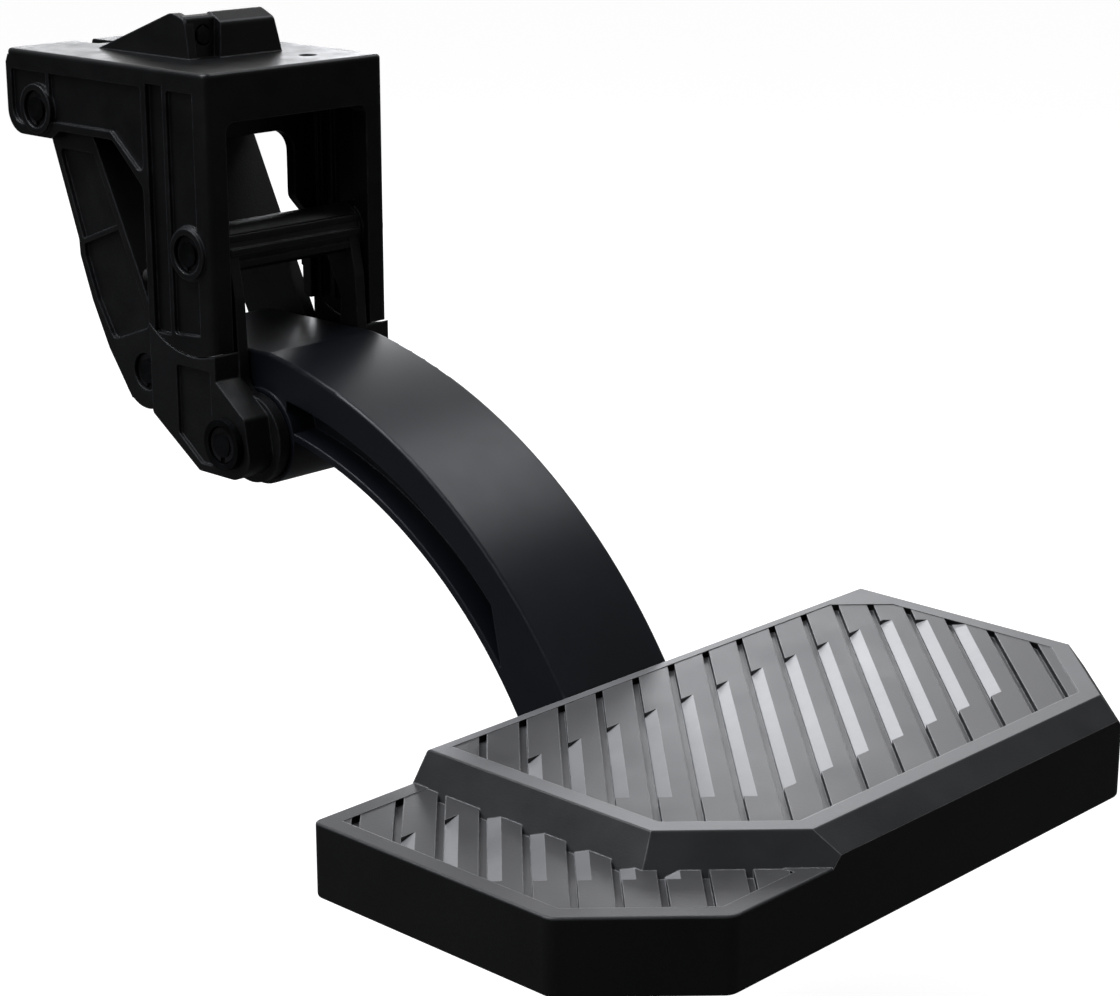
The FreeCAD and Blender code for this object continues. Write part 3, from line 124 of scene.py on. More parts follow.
# The stage: floor and room, in metres and in strengths of light.
FLOOR_HALF = 8.0
FLOOR_DROP = 0.12
FLOOR_GLOW = 0.93
FLOOR_IN_REFLECTIONS = (0.1, 0.1, 0.1, 1)
ROOM_LIGHT = 0.12
WHITE = (1, 1, 1, 1)
BACKDROP_SIDE, BACKDROP_MIDDLE = 0.6, 0.95
LIGHT_COLOUR = (0.94, 0.96, 1.0)

# Each light's name, place from the middle of the step, two sides and setting for its power.
LIGHTS = (
    ("key_light", (-0.45, 0.5, 1.4), 1.0, 1.0, "key"),
    ("sheen_light", (0.9, 0.0, 1.15), 0.6, 0.6, "sheen"),
    ("root_light", (1.45, 1.5, 0.6), 0.25, 0.25, "root"),
    ("back_light", (1.5, 2.0, 0.36), 1.1, 0.3, "back"),
    ("tread_light", (1.45, 1.05, 0.6), 0.55, 0.4, "tread"),
    ("fill_light", (-1.6, 0.1, 0.9), 0.9, 0.9, "fill"),
)


def joint_place(name):
    """Where a hinge of the frame stands, as a vector in metres."""
    for joint in frame["joints"]:
        if joint["name"] == name:
            return Vector(joint["pos_m"])
    raise RuntimeError("no joint named " + name)


# Property groups: sizes and colours that a user would change

class StepCoatSettings(bpy.types.PropertyGroup):
    casting: FloatVectorProperty(
        name="Casting", description="Colour of the black powder coat on the castings",
        subtype="COLOR", size=4, min=0.0, max=1.0, default=(0.0035, 0.0037, 0.0042, 1.0))
    arm: FloatVectorProperty(
        name="Arm", description="Colour of the smooth satin coat on the arm",
        subtype="COLOR", size=4, min=0.0, max=1.0, default=(0.009, 0.0105, 0.015, 1.0))
    pad: FloatVectorProperty(
        name="Pad", description="Colour of the pad's coated sides",
        subtype="COLOR", size=4, min=0.0, max=1.0, default=(0.006, 0.006, 0.0065, 1.0))
    slope: FloatVectorProperty(
        name="Slope", description="Colour of the pad's sloping faces",
        subtype="COLOR", size=4, min=0.0, max=1.0, default=(0.026, 0.027, 0.029, 1.0))
    bar: FloatVectorProperty(
        name="Tread bar", description="Colour of the tread bars' tops",
        subtype="COLOR", size=4, min=0.0, max=1.0, default=(0.104, 0.104, 0.108, 1.0))
    # The facet colour is a painted highlight: facets that face the back are painted pale as if
    # lit, and upward edges take it too.
    facet: FloatVectorProperty(
        name="Bar facet", description="Colour of the pale sloping facet along each bar",
        subtype="COLOR", size=4, min=0.0, max=1.0, default=(0.45, 0.45, 0.46, 1.0))
    groove: FloatVectorProperty(
        name="Groove", description="Colour of the grooves between the bars",
        subtype="COLOR", size=4, min=0.0, max=1.0, default=(0.07, 0.07, 0.073, 1.0))
    rim: FloatVectorProperty(
        name="Rim", description="Colour of the worn rim round the tread",
        subtype="COLOR", size=4, min=0.0, max=1.0, default=(0.19, 0.19, 0.195, 1.0))
    grain: FloatProperty(
        name="Grain", description="Size of the cast coat's grain",
        subtype="DISTANCE", unit="LENGTH", default=0.9 * MM, min=0.1 * MM, max=5 * MM)


class StepMetalSettings(bpy.types.PropertyGroup):
    pin: FloatVectorProperty(
        name="Pin", description="Colour of the blackened pins and washers",
        subtype="COLOR", size=4, min=0.0, max=1.0, default=(0.02, 0.021, 0.023, 1.0))
    spring: FloatVectorProperty(
        name="Spring", description="Colour of the phosphated spring and rings",
        subtype="COLOR", size=4, min=0.0, max=1.0, default=(0.05, 0.05, 0.055, 1.0))
    bronze: FloatVectorProperty(
        name="Bronze", description="Colour of the sintered bushes",
        subtype="COLOR", size=4, min=0.0, max=1.0, default=(0.3, 0.19, 0.08, 1.0))
    screw: FloatVectorProperty(
        name="Screw", description="Colour of the black oxide screws",
        subtype="COLOR", size=4, min=0.0, max=1.0, default=(0.04, 0.04, 0.043, 1.0))
    rubber: FloatVectorProperty(
        name="Rubber", description="Colour of the stop bumpers",
        subtype="COLOR", size=4, min=0.0, max=1.0, default=(0.012, 0.012, 0.012, 1.0))


class StepSpringSettings(bpy.types.PropertyGroup):
    wire: FloatProperty(
        name="Wire radius", description="Radius of the spring wire",
        subtype="DISTANCE", unit="LENGTH", default=1.7 * MM, min=0.2 * MM)
    mean: FloatProperty(
        name="Coil radius", description="Mean radius of the coil",
        subtype="DISTANCE", unit="LENGTH", default=10.5 * MM, min=1 * MM)
    turns: IntProperty(
        name="Turns", description="Number of turns in the coil", default=12, min=2)
    half: FloatProperty(
        name="Half length", description="Half the coil's length",
        subtype="DISTANCE", unit="LENGTH", default=25.0 * MM, min=1 * MM)


class StepStageSettings(bpy.types.PropertyGroup):
    floor: FloatVectorProperty(
        name="Floor", description="Colour of the pale floor and backdrop",
        subtype="COLOR", size=4, min=0.0, max=1.0, default=(0.4, 0.4, 0.4, 1.0))
    key: FloatProperty(
        name="Key light", description="Power of the large light above",
        unit="POWER", default=22.0, min=0.0)
    sheen: FloatProperty(
        name="Sheen light", description="Power of the soft light that shows on the arm",
        unit="POWER", default=3.0, min=0.0)
    root: FloatProperty(
        name="Root light", description="Power of the small light that shows at the arm's root",
        unit="POWER", default=1.5, min=0.0)
    back: FloatProperty(
        name="Back light", description="Power of the low light behind",
        unit="POWER", default=5.0, min=0.0)
    tread: FloatProperty(
        name="Tread light", description="Power of the light that glances over the tread",
        unit="POWER", default=1.8, min=0.0)
    fill: FloatProperty(
        name="Fill light", description="Power of the soft light at the left",
        unit="POWER", default=4.0, min=0.0)


# Materials

def new_material(name):
    """A node material with its shader, its output and object coordinates."""
    material = bpy.data.materials.new(name)
    material.use_nodes = True
    tree = material.node_tree
    tree.nodes.clear()
    output = tree.nodes.new("ShaderNodeOutputMaterial")
    shader = tree.nodes.new("ShaderNodeBsdfPrincipled")
    coords = tree.nodes.new("ShaderNodeTexCoord")
    tree.links.new(shader.outputs["BSDF"], output.inputs["Surface"])
    return material, tree, shader, coords.outputs["Object"]


def noise(tree, vector, scale, detail=3.0, roughness=0.55):
    """Noise texture; the scale is per metre."""
    node = tree.nodes.new("ShaderNodeTexNoise")
    node.inputs["Scale"].default_value = scale
    node.inputs["Detail"].default_value = detail
    node.inputs["Roughness"].default_value = roughness
    tree.links.new(vector, node.inputs["Vector"])
    return node.outputs["Fac"]


def ramp(tree, value, low, high, first, last):
    """Maps value from low..high to first..last, without going past either end."""
    node = tree.nodes.new("ShaderNodeMapRange")
    node.inputs["From Min"].default_value = low
    node.inputs["From Max"].default_value = high
    node.inputs["To Min"].default_value = first
    node.inputs["To Max"].default_value = last
    tree.links.new(value, node.inputs["Value"])
    return node.outputs["Result"]


def mix(tree, factor, first, second):
    """Colour mix; first and second are colours or sockets."""
    node = tree.nodes.new("ShaderNodeMix")
    node.data_type = "RGBA"
    tree.links.new(factor, node.inputs["Factor"])
    for value, socket in ((first, node.inputs["A"]), (second, node.inputs["B"])):
        if isinstance(value, bpy.types.NodeSocket):
            tree.links.new(value, socket)
        else:
            socket.default_value = tuple(value)
    return node.outputs["Result"]


def lighter(colour, factor):
    """The colour times the factor, no brighter than white."""
    return tuple(min(1.0, c * factor) for c in colour[:3]) + (1.0,)


def arithmetic(tree, operation, first, second=None):
    """Math node of a shader or geometry tree; values are numbers or sockets."""
    node = tree.nodes.new("ShaderNodeMath")
    node.operation = operation
    for value, socket in zip((first, second), node.inputs):
        if isinstance(value, bpy.types.NodeSocket):
            tree.links.new(value, socket)
        elif value is not None:
            socket.default_value = value
    return node.outputs[0]


def soft_edges(tree, radius):
    """Rounded-edge normal, and how near the surface is to an edge from 0 to 1."""
    rounding = tree.nodes.new("ShaderNodeBevel")
    rounding.samples = 4
    rounding.inputs["Radius"].default_value = radius
    geometry = tree.nodes.new("ShaderNodeNewGeometry")
    compare = tree.nodes.new("ShaderNodeVectorMath")
    compare.operation = "DOT_PRODUCT"
    tree.links.new(rounding.outputs["Normal"], compare.inputs[0])
    tree.links.new(geometry.outputs["Normal"], compare.inputs[1])
    near = ramp(tree, compare.outputs["Value"], 0.995, 0.93, 0.0, 1.0)
    return rounding.outputs["Normal"], near


def bump(tree, height, strength, distance, base=None):
    """Bump normal on top of the base normal, if there is one."""
    node = tree.nodes.new("ShaderNodeBump")
    node.inputs["Strength"].default_value = strength
    node.inputs["Distance"].default_value = distance
    tree.links.new(height, node.inputs["Height"])
    if base is not None:
        tree.links.new(base, node.inputs["Normal"])
    return node.outputs["Normal"]


def coat(name, colour, grain, rough_low, rough_high, strength, wear=1.35, edge=3.0):
    """Coated casting: fine grain, slow changes of tone, uneven gloss, and edges painted paler in
    patches, partly as wear and partly as a painted highlight.
    """
    material, tree, shader, place = new_material(name)
    fine = noise(tree, place, 1.0 / grain, 2.0, 0.6)
    slow = noise(tree, place, BROAD_SCALE, 4.0, 0.6)
    tone = mix(tree, ramp(tree, slow, 0.35, 0.68, 0.0, 1.0), lighter(colour, 0.82),
               lighter(colour, wear))
    # Painted highlight, partly wear: the coat is painted paler near edges, in patches.
    rounded, near = soft_edges(tree, CASTING_EDGE)
    patchy = ramp(tree, noise(tree, place, CHIP_SCALE, 3.0, 0.6), 0.35, 0.65, 0.25, 1.0)
    tone = mix(tree, arithmetic(tree, "MULTIPLY", near, patchy), tone, lighter(colour, edge))
    tree.links.new(tone, shader.inputs["Base Color"])
    blotch = noise(tree, place, BLOTCH_SCALE, 3.0, 0.6)
    tree.links.new(ramp(tree, blotch, 0.3, 0.7, rough_low, rough_high),
                   shader.inputs["Roughness"])
    tree.links.new(bump(tree, fine, strength, grain * 0.3, rounded), shader.inputs["Normal"])
    shader.inputs["Specular IOR Level"].default_value = 0.45
    return material


def metal(name, colour, rough, grain=0.4 * MM, strength=0.12):
    """Turned or plated metal with fine tool marks and stains."""
    material, tree, shader, place = new_material(name)
    marks = noise(tree, place, 0.6 / grain, 4.0, 0.7)
    stain = noise(tree, place, STAIN_SCALE, 4.0, 0.6)
    tone = mix(tree, ramp(tree, stain, 0.35, 0.7, 0.0, 1.0), lighter(colour, 0.7),
               lighter(colour, 1.5))
    tree.links.new(tone, shader.inputs["Base Color"])
    tree.links.new(ramp(tree, stain, 0.3, 0.75, rough * 0.8, rough * 1.25),
                   shader.inputs["Roughness"])
    tree.links.new(bump(tree, marks, strength, grain * 0.3), shader.inputs["Normal"])
    shader.inputs["Metallic"].default_value = 1.0
    return material


def rubber(name, colour):
    """Moulded rubber with a dull fine skin."""
    material, tree, shader, place = new_material(name)
    fine = noise(tree, place, RUBBER_SKIN_SCALE, 2.0, 0.5)
    slow = noise(tree, place, RUBBER_BROAD_SCALE, 3.0, 0.6)
    tone = mix(tree, slow, lighter(colour, 0.8), lighter(colour, 1.6))
    tree.links.new(tone, shader.inputs["Base Color"])
    tree.links.new(ramp(tree, slow, 0.3, 0.7, 0.7, 0.9), shader.inputs["Roughness"])
    tree.links.new(bump(tree, fine, 0.2, 0.2 * MM), shader.inputs["Normal"])
    return material


def give(node, material):
    """Puts a material on a node of the frame, in the place of its own."""
    slots = frame["nodes"][node].data.materials
    slots.clear()
    slots.append(material)


# Operators: one for each piece or group of like pieces

class BEDSTEP_OT_castings(bpy.types.Operator):
    """Finish the cast bracket and the two links"""
    bl_idname = "bedstep.castings"
    bl_label = "Castings"

    def execute(self, context):
        tones = context.scene.bedstep_coat
        black = coat("black_cast_coat", tones.casting, tones.grain, 0.3, 0.42, 0.25,
                     edge=CASTING_EDGE_HIGHLIGHT_AND_WEAR)
        give("bracket_housing", black)
        links = coat("black_link_coat", lighter(tones.casting, 0.9), tones.grain, 0.4, 0.58, 0.35,
                     edge=CASTING_EDGE_HIGHLIGHT_AND_WEAR)
        give("rear_link", links)
        give("front_link", links)
        return {"FINISHED"}


class BEDSTEP_OT_arm(bpy.types.Operator):
    """Finish the curved arm with a smooth satin coat"""
    bl_idname = "bedstep.arm"
    bl_label = "Arm"

    def execute(self, context):
        tones = context.scene.bedstep_coat
        satin = coat("satin_arm_coat", tones.arm, tones.grain * 0.6, 0.3, 0.33, 0.06, 1.1)
        give("swing_arm", satin)
        return {"FINISHED"}


def pad_material(tones):
    """Black coat on sides and slopes, grey bars and a rim paler with wear, by place. Facets
    facing the back carry a painted highlight, bars and facets a painted light that grows towards
    the right, and edges of upward faces a painted highlight that partly stands for wear.
    """
    material, tree, shader, place = new_material("barred_pad_coat")
    low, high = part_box("step_pad")
    coords = tree.nodes.new("ShaderNodeTexCoord")
    facing = tree.nodes.new("ShaderNodeSeparateXYZ")
    tree.links.new(coords.outputs["Normal"], facing.inputs["Vector"])
    spot = tree.nodes.new("ShaderNodeSeparateXYZ")
    tree.links.new(place, spot.inputs["Vector"])
    up, height = facing.outputs["Z"], spot.outputs["Z"]

    def above(value, limit, soft):
        return ramp(tree, value, limit - soft, limit + soft, 0.0, 1.0)

    def both(first, second):
        return arithmetic(tree, "MULTIPLY", first, second)

    flat = above(up, FLAT_UP, 0.005)
    sloping = above(up, SLOPE_UP, 0.05)
    # Painted highlight: facets that face the back, towards the light, take the pale facet colour.
    lit_facet_mask = both(above(facing.outputs["Y"], FACET_BACK, 0.03), above(up, FACET_UP, 0.02))
    lower = high.z - LEDGE_DROP
    platform = above(height, high.z - TREAD_DEPTH, 0.1 * MM)
    under = arithmetic(tree, "SUBTRACT", 1.0, above(height, lower + ABOVE_LEDGE, 0.1 * MM))
    ledge = both(above(height, lower - TREAD_DEPTH, 0.1 * MM), under)
    level = arithmetic(tree, "MAXIMUM", platform, ledge)
    brim = arithmetic(tree, "MAXIMUM", above(height, high.z - RIM_DEPTH, 0.05 * MM),
                      both(above(height, lower - RIM_DEPTH, 0.05 * MM), ledge))
    slow = noise(tree, place, PAD_BROAD_SCALE, 4.0, 0.6)
    spread = ramp(tree, slow, 0.35, 0.65, 0.0, 1.0)

    def varied(colour, by):
        return mix(tree, spread, lighter(colour, 1 - by), lighter(colour, 1 + by))

    tone = mix(tree, sloping, varied(tones.pad, 0.2), varied(tones.slope, 0.2))
    tone = mix(tree, flat, tone, varied(tones.groove, 0.2))
    # Painted light: bars and facets run from darker at the left to paler at the right, as the
    # light falls.
    length = high.x - low.x
    painted_light_ramp = ramp(tree, spot.outputs["X"], low.x + PAINTED_LIGHT_START * length,
                low.x + PAINTED_LIGHT_END * length, 0.0, 1.0)
    bars = mix(tree, painted_light_ramp, varied(lighter(tones.bar, 0.55), 0.15), varied(tones.bar, 0.15))
    tone = mix(tree, both(flat, level), tone, bars)
    brims = mix(tree, ledge, varied(tones.rim, 0.12), varied(lighter(tones.rim, 0.3), 0.12))
    tone = mix(tree, both(flat, brim), tone, brims)
    facets = mix(tree, painted_light_ramp, varied(lighter(tones.facet, 0.55), 0.08),
                 varied(tones.facet, 0.08))
    tone = mix(tree, lit_facet_mask, tone, facets)
    rounded, near = soft_edges(tree, PAD_EDGE)
    # Painted highlight, partly wear: edges of upward faces are painted pale in patches, in the
    # facet colour.
    upper = both(near, above(up, 0.5, 0.1))
    patchy = ramp(tree, noise(tree, place, PAD_CHIP_SCALE, 3.0, 0.6), 0.35, 0.65, 0.3, 0.9)
    tone = mix(tree, both(upper, patchy), tone, lighter(tones.facet, 1.1))
    tree.links.new(tone, shader.inputs["Base Color"])
    tree.links.new(ramp(tree, slow, 0.3, 0.7, 0.34, 0.46), shader.inputs["Roughness"])
    fine = noise(tree, place, 1.0 / tones.grain, 2.0, 0.6)
    tree.links.new(bump(tree, fine, 0.25, tones.grain * 0.25, rounded), shader.inputs["Normal"])
    return material


class BEDSTEP_OT_pad(bpy.types.Operator):
    """Finish the two-level pad and its barred tread"""
    bl_idname = "bedstep.pad"
    bl_label = "Pad"

    def execute(self, context):
        give("step_pad", pad_material(context.scene.bedstep_coat))
        return {"FINISHED"}


class BEDSTEP_OT_pivots(bpy.types.Operator):
    """Finish the pins, rings, bushes and washers"""
    bl_idname = "bedstep.pivots"
    bl_label = "Pivots"

    def execute(self, context):
        tones = context.scene.bedstep_metal
        pin = metal("black_pin_steel", tones.pin, 0.42)
        ring = metal("phosphated_ring_steel", tones.spring, 0.45)
        bronze = metal("sintered_bronze", tones.bronze, 0.4)
        for node in ("upper_rear_pin", "upper_front_pin", "lower_rear_pin", "lower_front_pin",
                     "lower_front_washers"):
            give(node, pin)
        for node in ("upper_rear_rings", "upper_front_rings", "lower_rear_rings",
                     "lower_front_rings"):
            give(node, ring)
        for node in ("upper_rear_bushes", "upper_front_bushes", "lower_rear_bushes",
                     "side_washers"):
            give(node, bronze)
        return {"FINISHED"}


class BEDSTEP_OT_fasteners(bpy.types.Operator):
    """Finish the screws, washers, studs, clamp bolt and nut"""
    bl_idname = "bedstep.fasteners"
    bl_label = "Fasteners"

    def execute(self, context):
        tones = context.scene.bedstep_metal
        screw = metal("black_oxide_screw", tones.screw, 0.4)
        for node in ("pad_screws", "pad_washers", "bumper_studs", "clamp_bolt", "clamp_nut"):
            give(node, screw)
        give("stop_bumpers", rubber("bumper_rubber", tones.rubber))
        return {"FINISHED"}


def evaluated_copy(piece, name):
    """The piece's evaluated mesh as a new object; the piece and its modifiers go."""
    graph = bpy.context.evaluated_depsgraph_get()
    data = bpy.data.meshes.new_from_object(piece.evaluated_get(graph), depsgraph=graph)
    data.name = name
    bpy.data.objects.remove(piece)
    result = bpy.data.objects.new(name, data)
    bpy.context.scene.collection.objects.link(result)
    return result


def node_tree(name, inputs):
    """Geometry tree with named inputs as (name, socket type), and its identifiers by name."""
    tree = bpy.data.node_groups.new(name, "GeometryNodeTree")
    tree.interface.new_socket(name="Geometry", in_out="OUTPUT", socket_type="NodeSocketGeometry")
    keys = {}
    for label, kind in inputs:
        item = tree.interface.new_socket(name=label, in_out="INPUT", socket_type=kind)
        keys[label] = item.identifier
    return tree, keys


def run_tree(name, tree, keys, values):
    """Runs a geometry tree with the named values and returns its result as an object."""
    carrier = bpy.data.objects.new(name + "_carrier", bpy.data.meshes.new(name + "_carrier"))
    bpy.context.scene.collection.objects.link(carrier)
    modifier = carrier.modifiers.new(name, "NODES")
    modifier.node_group = tree
    for label, value in values.items():
        modifier[keys[label]] = value
    return evaluated_copy(carrier, name)


def spring_tree():
    """Geometry tree that winds a wire: a foot, a knee, a helix along X and a resting end.

    The line has one point for the foot, one for the knee, a helix of whole steps with a point
    at both ends, and one for the resting end.
    """
    tree, keys = node_tree("wound_spring", (
        ("Turns", "NodeSocketInt"),
        ("Steps", "NodeSocketInt"),
        ("Wire radius", "NodeSocketFloat"),
        ("Coil radius", "NodeSocketFloat"),
        ("Half length", "NodeSocketFloat"),
        ("Centre", "NodeSocketVector"),
        ("Foot", "NodeSocketVector"),
        ("Knee", "NodeSocketVector"),
        ("Rest", "NodeSocketVector"),
        ("Material", "NodeSocketMaterial"),
    ))
    given = tree.nodes.new("NodeGroupInput").outputs
    output = tree.nodes.new("NodeGroupOutput")
    index = tree.nodes.new("GeometryNodeInputIndex").outputs[0]
    whole = arithmetic(tree, "MULTIPLY", given["Turns"], given["Steps"])
    line = tree.nodes.new("GeometryNodeMeshLine")
    line.inputs["Offset"].default_value = (MM, 0, 0)
    tree.links.new(arithmetic(tree, "ADD", whole, LEG_POINTS + 2), line.inputs["Count"])
    curve = tree.nodes.new("GeometryNodeMeshToCurve")
    tree.links.new(line.outputs["Mesh"], curve.inputs["Mesh"])
    wound = arithmetic(tree, "SUBTRACT", index, LEG_POINTS)
    turn = arithmetic(tree, "DIVIDE", wound, given["Steps"])
    angle = arithmetic(tree, "MULTIPLY", arithmetic(tree, "ADD", turn, START_TURN),
                       2 * math.pi)
    part = arithmetic(tree, "DIVIDE", wound, whole)
    along = arithmetic(tree, "SUBTRACT", arithmetic(tree, "MULTIPLY", part, 2), 1)
    spot = tree.nodes.new("ShaderNodeCombineXYZ")
    tree.links.new(arithmetic(tree, "MULTIPLY", along, given["Half length"]), spot.inputs["X"])
    for letter, operation in (("Y", "COSINE"), ("Z", "SINE")):
        swing = arithmetic(tree, operation, angle)
        tree.links.new(arithmetic(tree, "MULTIPLY", swing, given["Coil radius"]),
                       spot.inputs[letter])
    moved = tree.nodes.new("ShaderNodeVectorMath")
    moved.operation = "ADD"
    tree.links.new(spot.outputs["Vector"], moved.inputs[0])
    tree.links.new(given["Centre"], moved.inputs[1])
    position = moved.outputs["Vector"]
    last = arithmetic(tree, "GREATER_THAN", wound, arithmetic(tree, "ADD", whole, 0.5))
    for test, name in ((arithmetic(tree, "LESS_THAN", index, 1.5), "Knee"),
                       (arithmetic(tree, "LESS_THAN", index, 0.5), "Foot"), (last, "Rest")):
        switch = tree.nodes.new("GeometryNodeSwitch")
        switch.input_type = "VECTOR"
        tree.links.new(test, switch.inputs["Switch"])
        tree.links.new(position, switch.inputs["False"])
        tree.links.new(given[name], switch.inputs["True"])
        position = switch.outputs["Output"]
    place = tree.nodes.new("GeometryNodeSetPosition")
    tree.links.new(curve.outputs["Curve"], place.inputs["Geometry"])
    tree.links.new(position, place.inputs["Position"])
    profile = tree.nodes.new("GeometryNodeCurvePrimitiveCircle")
    profile.inputs["Resolution"].default_value = WIRE_SIDES
    tree.links.new(given["Wire radius"], profile.inputs["Radius"])
    sweep = tree.nodes.new("GeometryNodeCurveToMesh")
    sweep.inputs["Fill Caps"].default_value = True
    tree.links.new(place.outputs["Geometry"], sweep.inputs["Curve"])
    tree.links.new(profile.outputs["Curve"], sweep.inputs["Profile Curve"])
    finish_tree(tree, sweep.outputs["Mesh"], given["Material"], output)
    return tree, keys


def finish_tree(tree, geometry, material, output):
    """Smooth shading, real meshes and the material at the end of a geometry tree."""
    smooth = tree.nodes.new("GeometryNodeSetShadeSmooth")
    real = tree.nodes.new("GeometryNodeRealizeInstances")
    cover = tree.nodes.new("GeometryNodeSetMaterial")
    tree.links.new(geometry, smooth.inputs["Geometry"])
    tree.links.new(smooth.outputs["Geometry"], real.inputs["Geometry"])
    tree.links.new(real.outputs["Geometry"], cover.inputs["Geometry"])
    tree.links.new(material, cover.inputs["Material"])
    tree.links.new(cover.outputs["Geometry"], output.inputs["Geometry"])


class BEDSTEP_OT_spring(bpy.types.Operator):
    """Wind the torsion spring round the upper rear pin"""
    bl_idname = "bedstep.spring"
    bl_label = "Spring"

    def execute(self, context):
        sizes = context.scene.bedstep_spring
        centre = joint_place("rear_link_hinge")
        low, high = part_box("torsion_spring")
        rest_y, rest_z = high.y - sizes.wire, high.z - sizes.wire
        foot_y, foot_z = low.y + sizes.wire, low.z + sizes.wire
        wide = sizes.half - sizes.wire - COIL_ROOM
        steel = metal("spring_wire_steel", context.scene.bedstep_metal.spring, 0.4)
        tree, keys = spring_tree()
        coil = run_tree("spring_coil", tree, keys, {
            "Turns": sizes.turns,
            "Steps": TURN_STEPS,
            "Wire radius": sizes.wire,
            "Coil radius": sizes.mean,
            "Half length": wide,
            "Centre": centre,
            "Foot": (-wide, foot_y, foot_z),
            "Knee": (-wide, foot_y + KNEE_BACK, foot_z + KNEE_UP),
            "Rest": (wide, rest_y, rest_z),
            "Material": steel,
        })
        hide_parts("torsion_spring")
        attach(coil, "housing")
        return {"FINISHED"}


def area_light(name, place, target, size, height, power):
    """Soft light that shines from place to target and that the camera doesn't see."""
    data = bpy.data.lights.new(name, "AREA")
    data.shape = "RECTANGLE"
    data.size = size
    data.size_y = height
    data.energy = power
    data.color = LIGHT_COLOUR
    light = bpy.data.objects.new(name, data)
    light.location = place
    light.visible_camera = False
    light.rotation_euler = (target - place).to_track_quat("-Z", "Y").to_euler()
    bpy.context.scene.collection.objects.link(light)


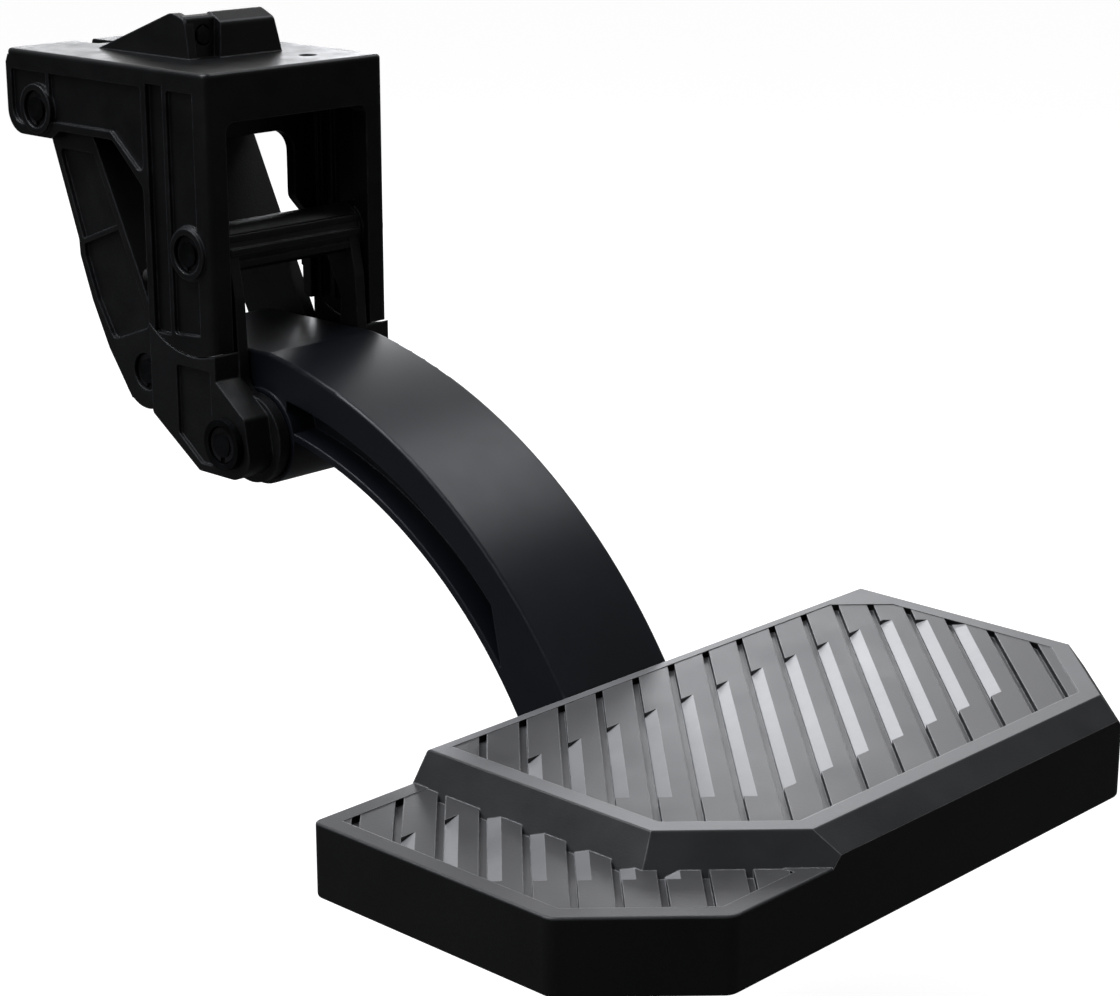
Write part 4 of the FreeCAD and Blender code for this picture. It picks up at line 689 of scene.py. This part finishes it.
class BEDSTEP_OT_stage(bpy.types.Operator):
    """Set the pale floor, the soft lights and the camera"""
    bl_idname = "bedstep.stage"
    bl_label = "Stage"

    def execute(self, context):
        scene = context.scene
        settings = scene.bedstep_stage
        low, high = CAD_BOX
        mesh = bmesh.new()
        bmesh.ops.create_grid(mesh, x_segments=2, y_segments=2, size=FLOOR_HALF)
        data = bpy.data.meshes.new("floor")
        mesh.to_mesh(data)
        mesh.free()
        floor = bpy.data.objects.new("floor", data)
        floor.location = (0, 0, low[2] - FLOOR_DROP)
        scene.collection.objects.link(floor)
        data.materials.append(self.floor_material(settings.floor))
        middle = (Vector(low) + Vector(high)) / 2
        for name, offset, size, height, setting in LIGHTS:
            area_light(name, middle + Vector(offset), middle, size, height,
                       getattr(settings, setting))
        self.world(scene)
        self.camera(scene)
        scene.view_settings.view_transform = "Standard"
        return {"FINISHED"}

    def floor_material(self, colour):
        """Pale matte floor, white to the camera and dim in what the black coat reflects."""
        material, tree, shader, place = new_material("pale_floor")
        grain = noise(tree, place, 4.0, 2.0)
        tone = mix(tree, grain, colour, lighter(colour, 1.02))
        tree.links.new(tone, shader.inputs["Base Color"])
        shader.inputs["Roughness"].default_value = 0.9
        shader.inputs["Specular IOR Level"].default_value = 0.0
        shader.inputs["Emission Color"].default_value = WHITE
        shader.inputs["Emission Strength"].default_value = FLOOR_GLOW
        dim = tree.nodes.new("ShaderNodeBsdfDiffuse")
        dim.inputs["Color"].default_value = FLOOR_IN_REFLECTIONS
        path = tree.nodes.new("ShaderNodeLightPath")
        choose = tree.nodes.new("ShaderNodeMixShader")
        output = next(node for node in tree.nodes if node.type == "OUTPUT_MATERIAL")
        tree.links.new(path.outputs["Is Camera Ray"], choose.inputs["Fac"])
        tree.links.new(dim.outputs["BSDF"], choose.inputs[1])
        tree.links.new(shader.outputs["BSDF"], choose.inputs[2])
        tree.links.new(choose.outputs["Shader"], output.inputs["Surface"])
        return material

    def world(self, scene):
        """Plain grey room light, with a white background for the camera and reflections."""
        world = bpy.data.worlds.new("studio")
        scene.world = world
        world.use_nodes = True
        tree = world.node_tree
        tree.nodes.clear()
        output = tree.nodes.new("ShaderNodeOutputWorld")
        soft = tree.nodes.new("ShaderNodeBackground")
        soft.inputs["Color"].default_value = WHITE
        soft.inputs["Strength"].default_value = ROOM_LIGHT
        white = tree.nodes.new("ShaderNodeBackground")
        white.inputs["Color"].default_value = WHITE
        white.inputs["Strength"].default_value = 1.0
        path = tree.nodes.new("ShaderNodeLightPath")
        coords = tree.nodes.new("ShaderNodeTexCoord")
        along = tree.nodes.new("ShaderNodeVectorMath")
        along.operation = "DOT_PRODUCT"
        tree.links.new(coords.outputs["Generated"], along.inputs[0])
        turn = math.radians(CAMERA_TURN)
        along.inputs[1].default_value = (-math.sin(turn), math.cos(turn), 0)
        behind = ramp(tree, along.outputs["Value"], BACKDROP_SIDE, BACKDROP_MIDDLE,
                      0.0, 1.0)
        mirrored = arithmetic(tree, "MAXIMUM", path.outputs["Is Glossy Ray"],
                              path.outputs["Is Transmission Ray"])
        seen = arithmetic(tree, "MAXIMUM", path.outputs["Is Camera Ray"],
                          arithmetic(tree, "MULTIPLY", mirrored, behind))
        choose = tree.nodes.new("ShaderNodeMixShader")
        tree.links.new(seen, choose.inputs["Fac"])
        tree.links.new(soft.outputs["Background"], choose.inputs[1])
        tree.links.new(white.outputs["Background"], choose.inputs[2])
        tree.links.new(choose.outputs["Shader"], output.inputs["Surface"])

    def camera(self, scene):
        """The camera at the photo's angle."""
        data = bpy.data.cameras.new("camera")
        data.lens = CAMERA_LENS
        data.sensor_width = SENSOR_WIDTH
        data.clip_end = 50
        camera = bpy.data.objects.new("camera", data)
        camera.location = CAMERA_PLACE
        camera.rotation_euler = (math.radians(90 - CAMERA_PITCH), 0, math.radians(CAMERA_TURN))
        scene.collection.objects.link(camera)
        scene.camera = camera


class BEDSTEP_PT_panel(bpy.types.Panel):
    """Lists the pieces of the step in the sidebar"""
    bl_idname = "BEDSTEP_PT_panel"
    bl_label = "Bed Step"
    bl_space_type = "VIEW_3D"
    bl_region_type = "UI"
    bl_category = "Bed Step"

    def draw(self, context):
        for settings in (context.scene.bedstep_coat, context.scene.bedstep_metal,
                         context.scene.bedstep_spring, context.scene.bedstep_stage):
            for name in settings.__annotations__:
                self.layout.prop(settings, name)
        for operator in OPERATORS:
            self.layout.operator(operator.bl_idname)


GROUPS = (StepCoatSettings, StepMetalSettings, StepSpringSettings, StepStageSettings)
OPERATORS = (
    BEDSTEP_OT_castings,
    BEDSTEP_OT_arm,
    BEDSTEP_OT_pad,
    BEDSTEP_OT_pivots,
    BEDSTEP_OT_fasteners,
    BEDSTEP_OT_spring,
    BEDSTEP_OT_stage,
)


def register():
    for cls in GROUPS + OPERATORS + (BEDSTEP_PT_panel,):
        bpy.utils.register_class(cls)
    bpy.types.Scene.bedstep_coat = PointerProperty(type=StepCoatSettings)
    bpy.types.Scene.bedstep_metal = PointerProperty(type=StepMetalSettings)
    bpy.types.Scene.bedstep_spring = PointerProperty(type=StepSpringSettings)
    bpy.types.Scene.bedstep_stage = PointerProperty(type=StepStageSettings)


def unregister():
    del bpy.types.Scene.bedstep_stage
    del bpy.types.Scene.bedstep_spring
    del bpy.types.Scene.bedstep_metal
    del bpy.types.Scene.bedstep_coat
    for cls in reversed(GROUPS + OPERATORS + (BEDSTEP_PT_panel,)):
        bpy.utils.unregister_class(cls)


def main():
    register()
    bpy.ops.bedstep.castings()
    bpy.ops.bedstep.arm()
    bpy.ops.bedstep.pad()
    bpy.ops.bedstep.pivots()
    bpy.ops.bedstep.fasteners()
    bpy.ops.bedstep.spring()
    bpy.ops.bedstep.stage()


if __name__ == "__main__":
    main()
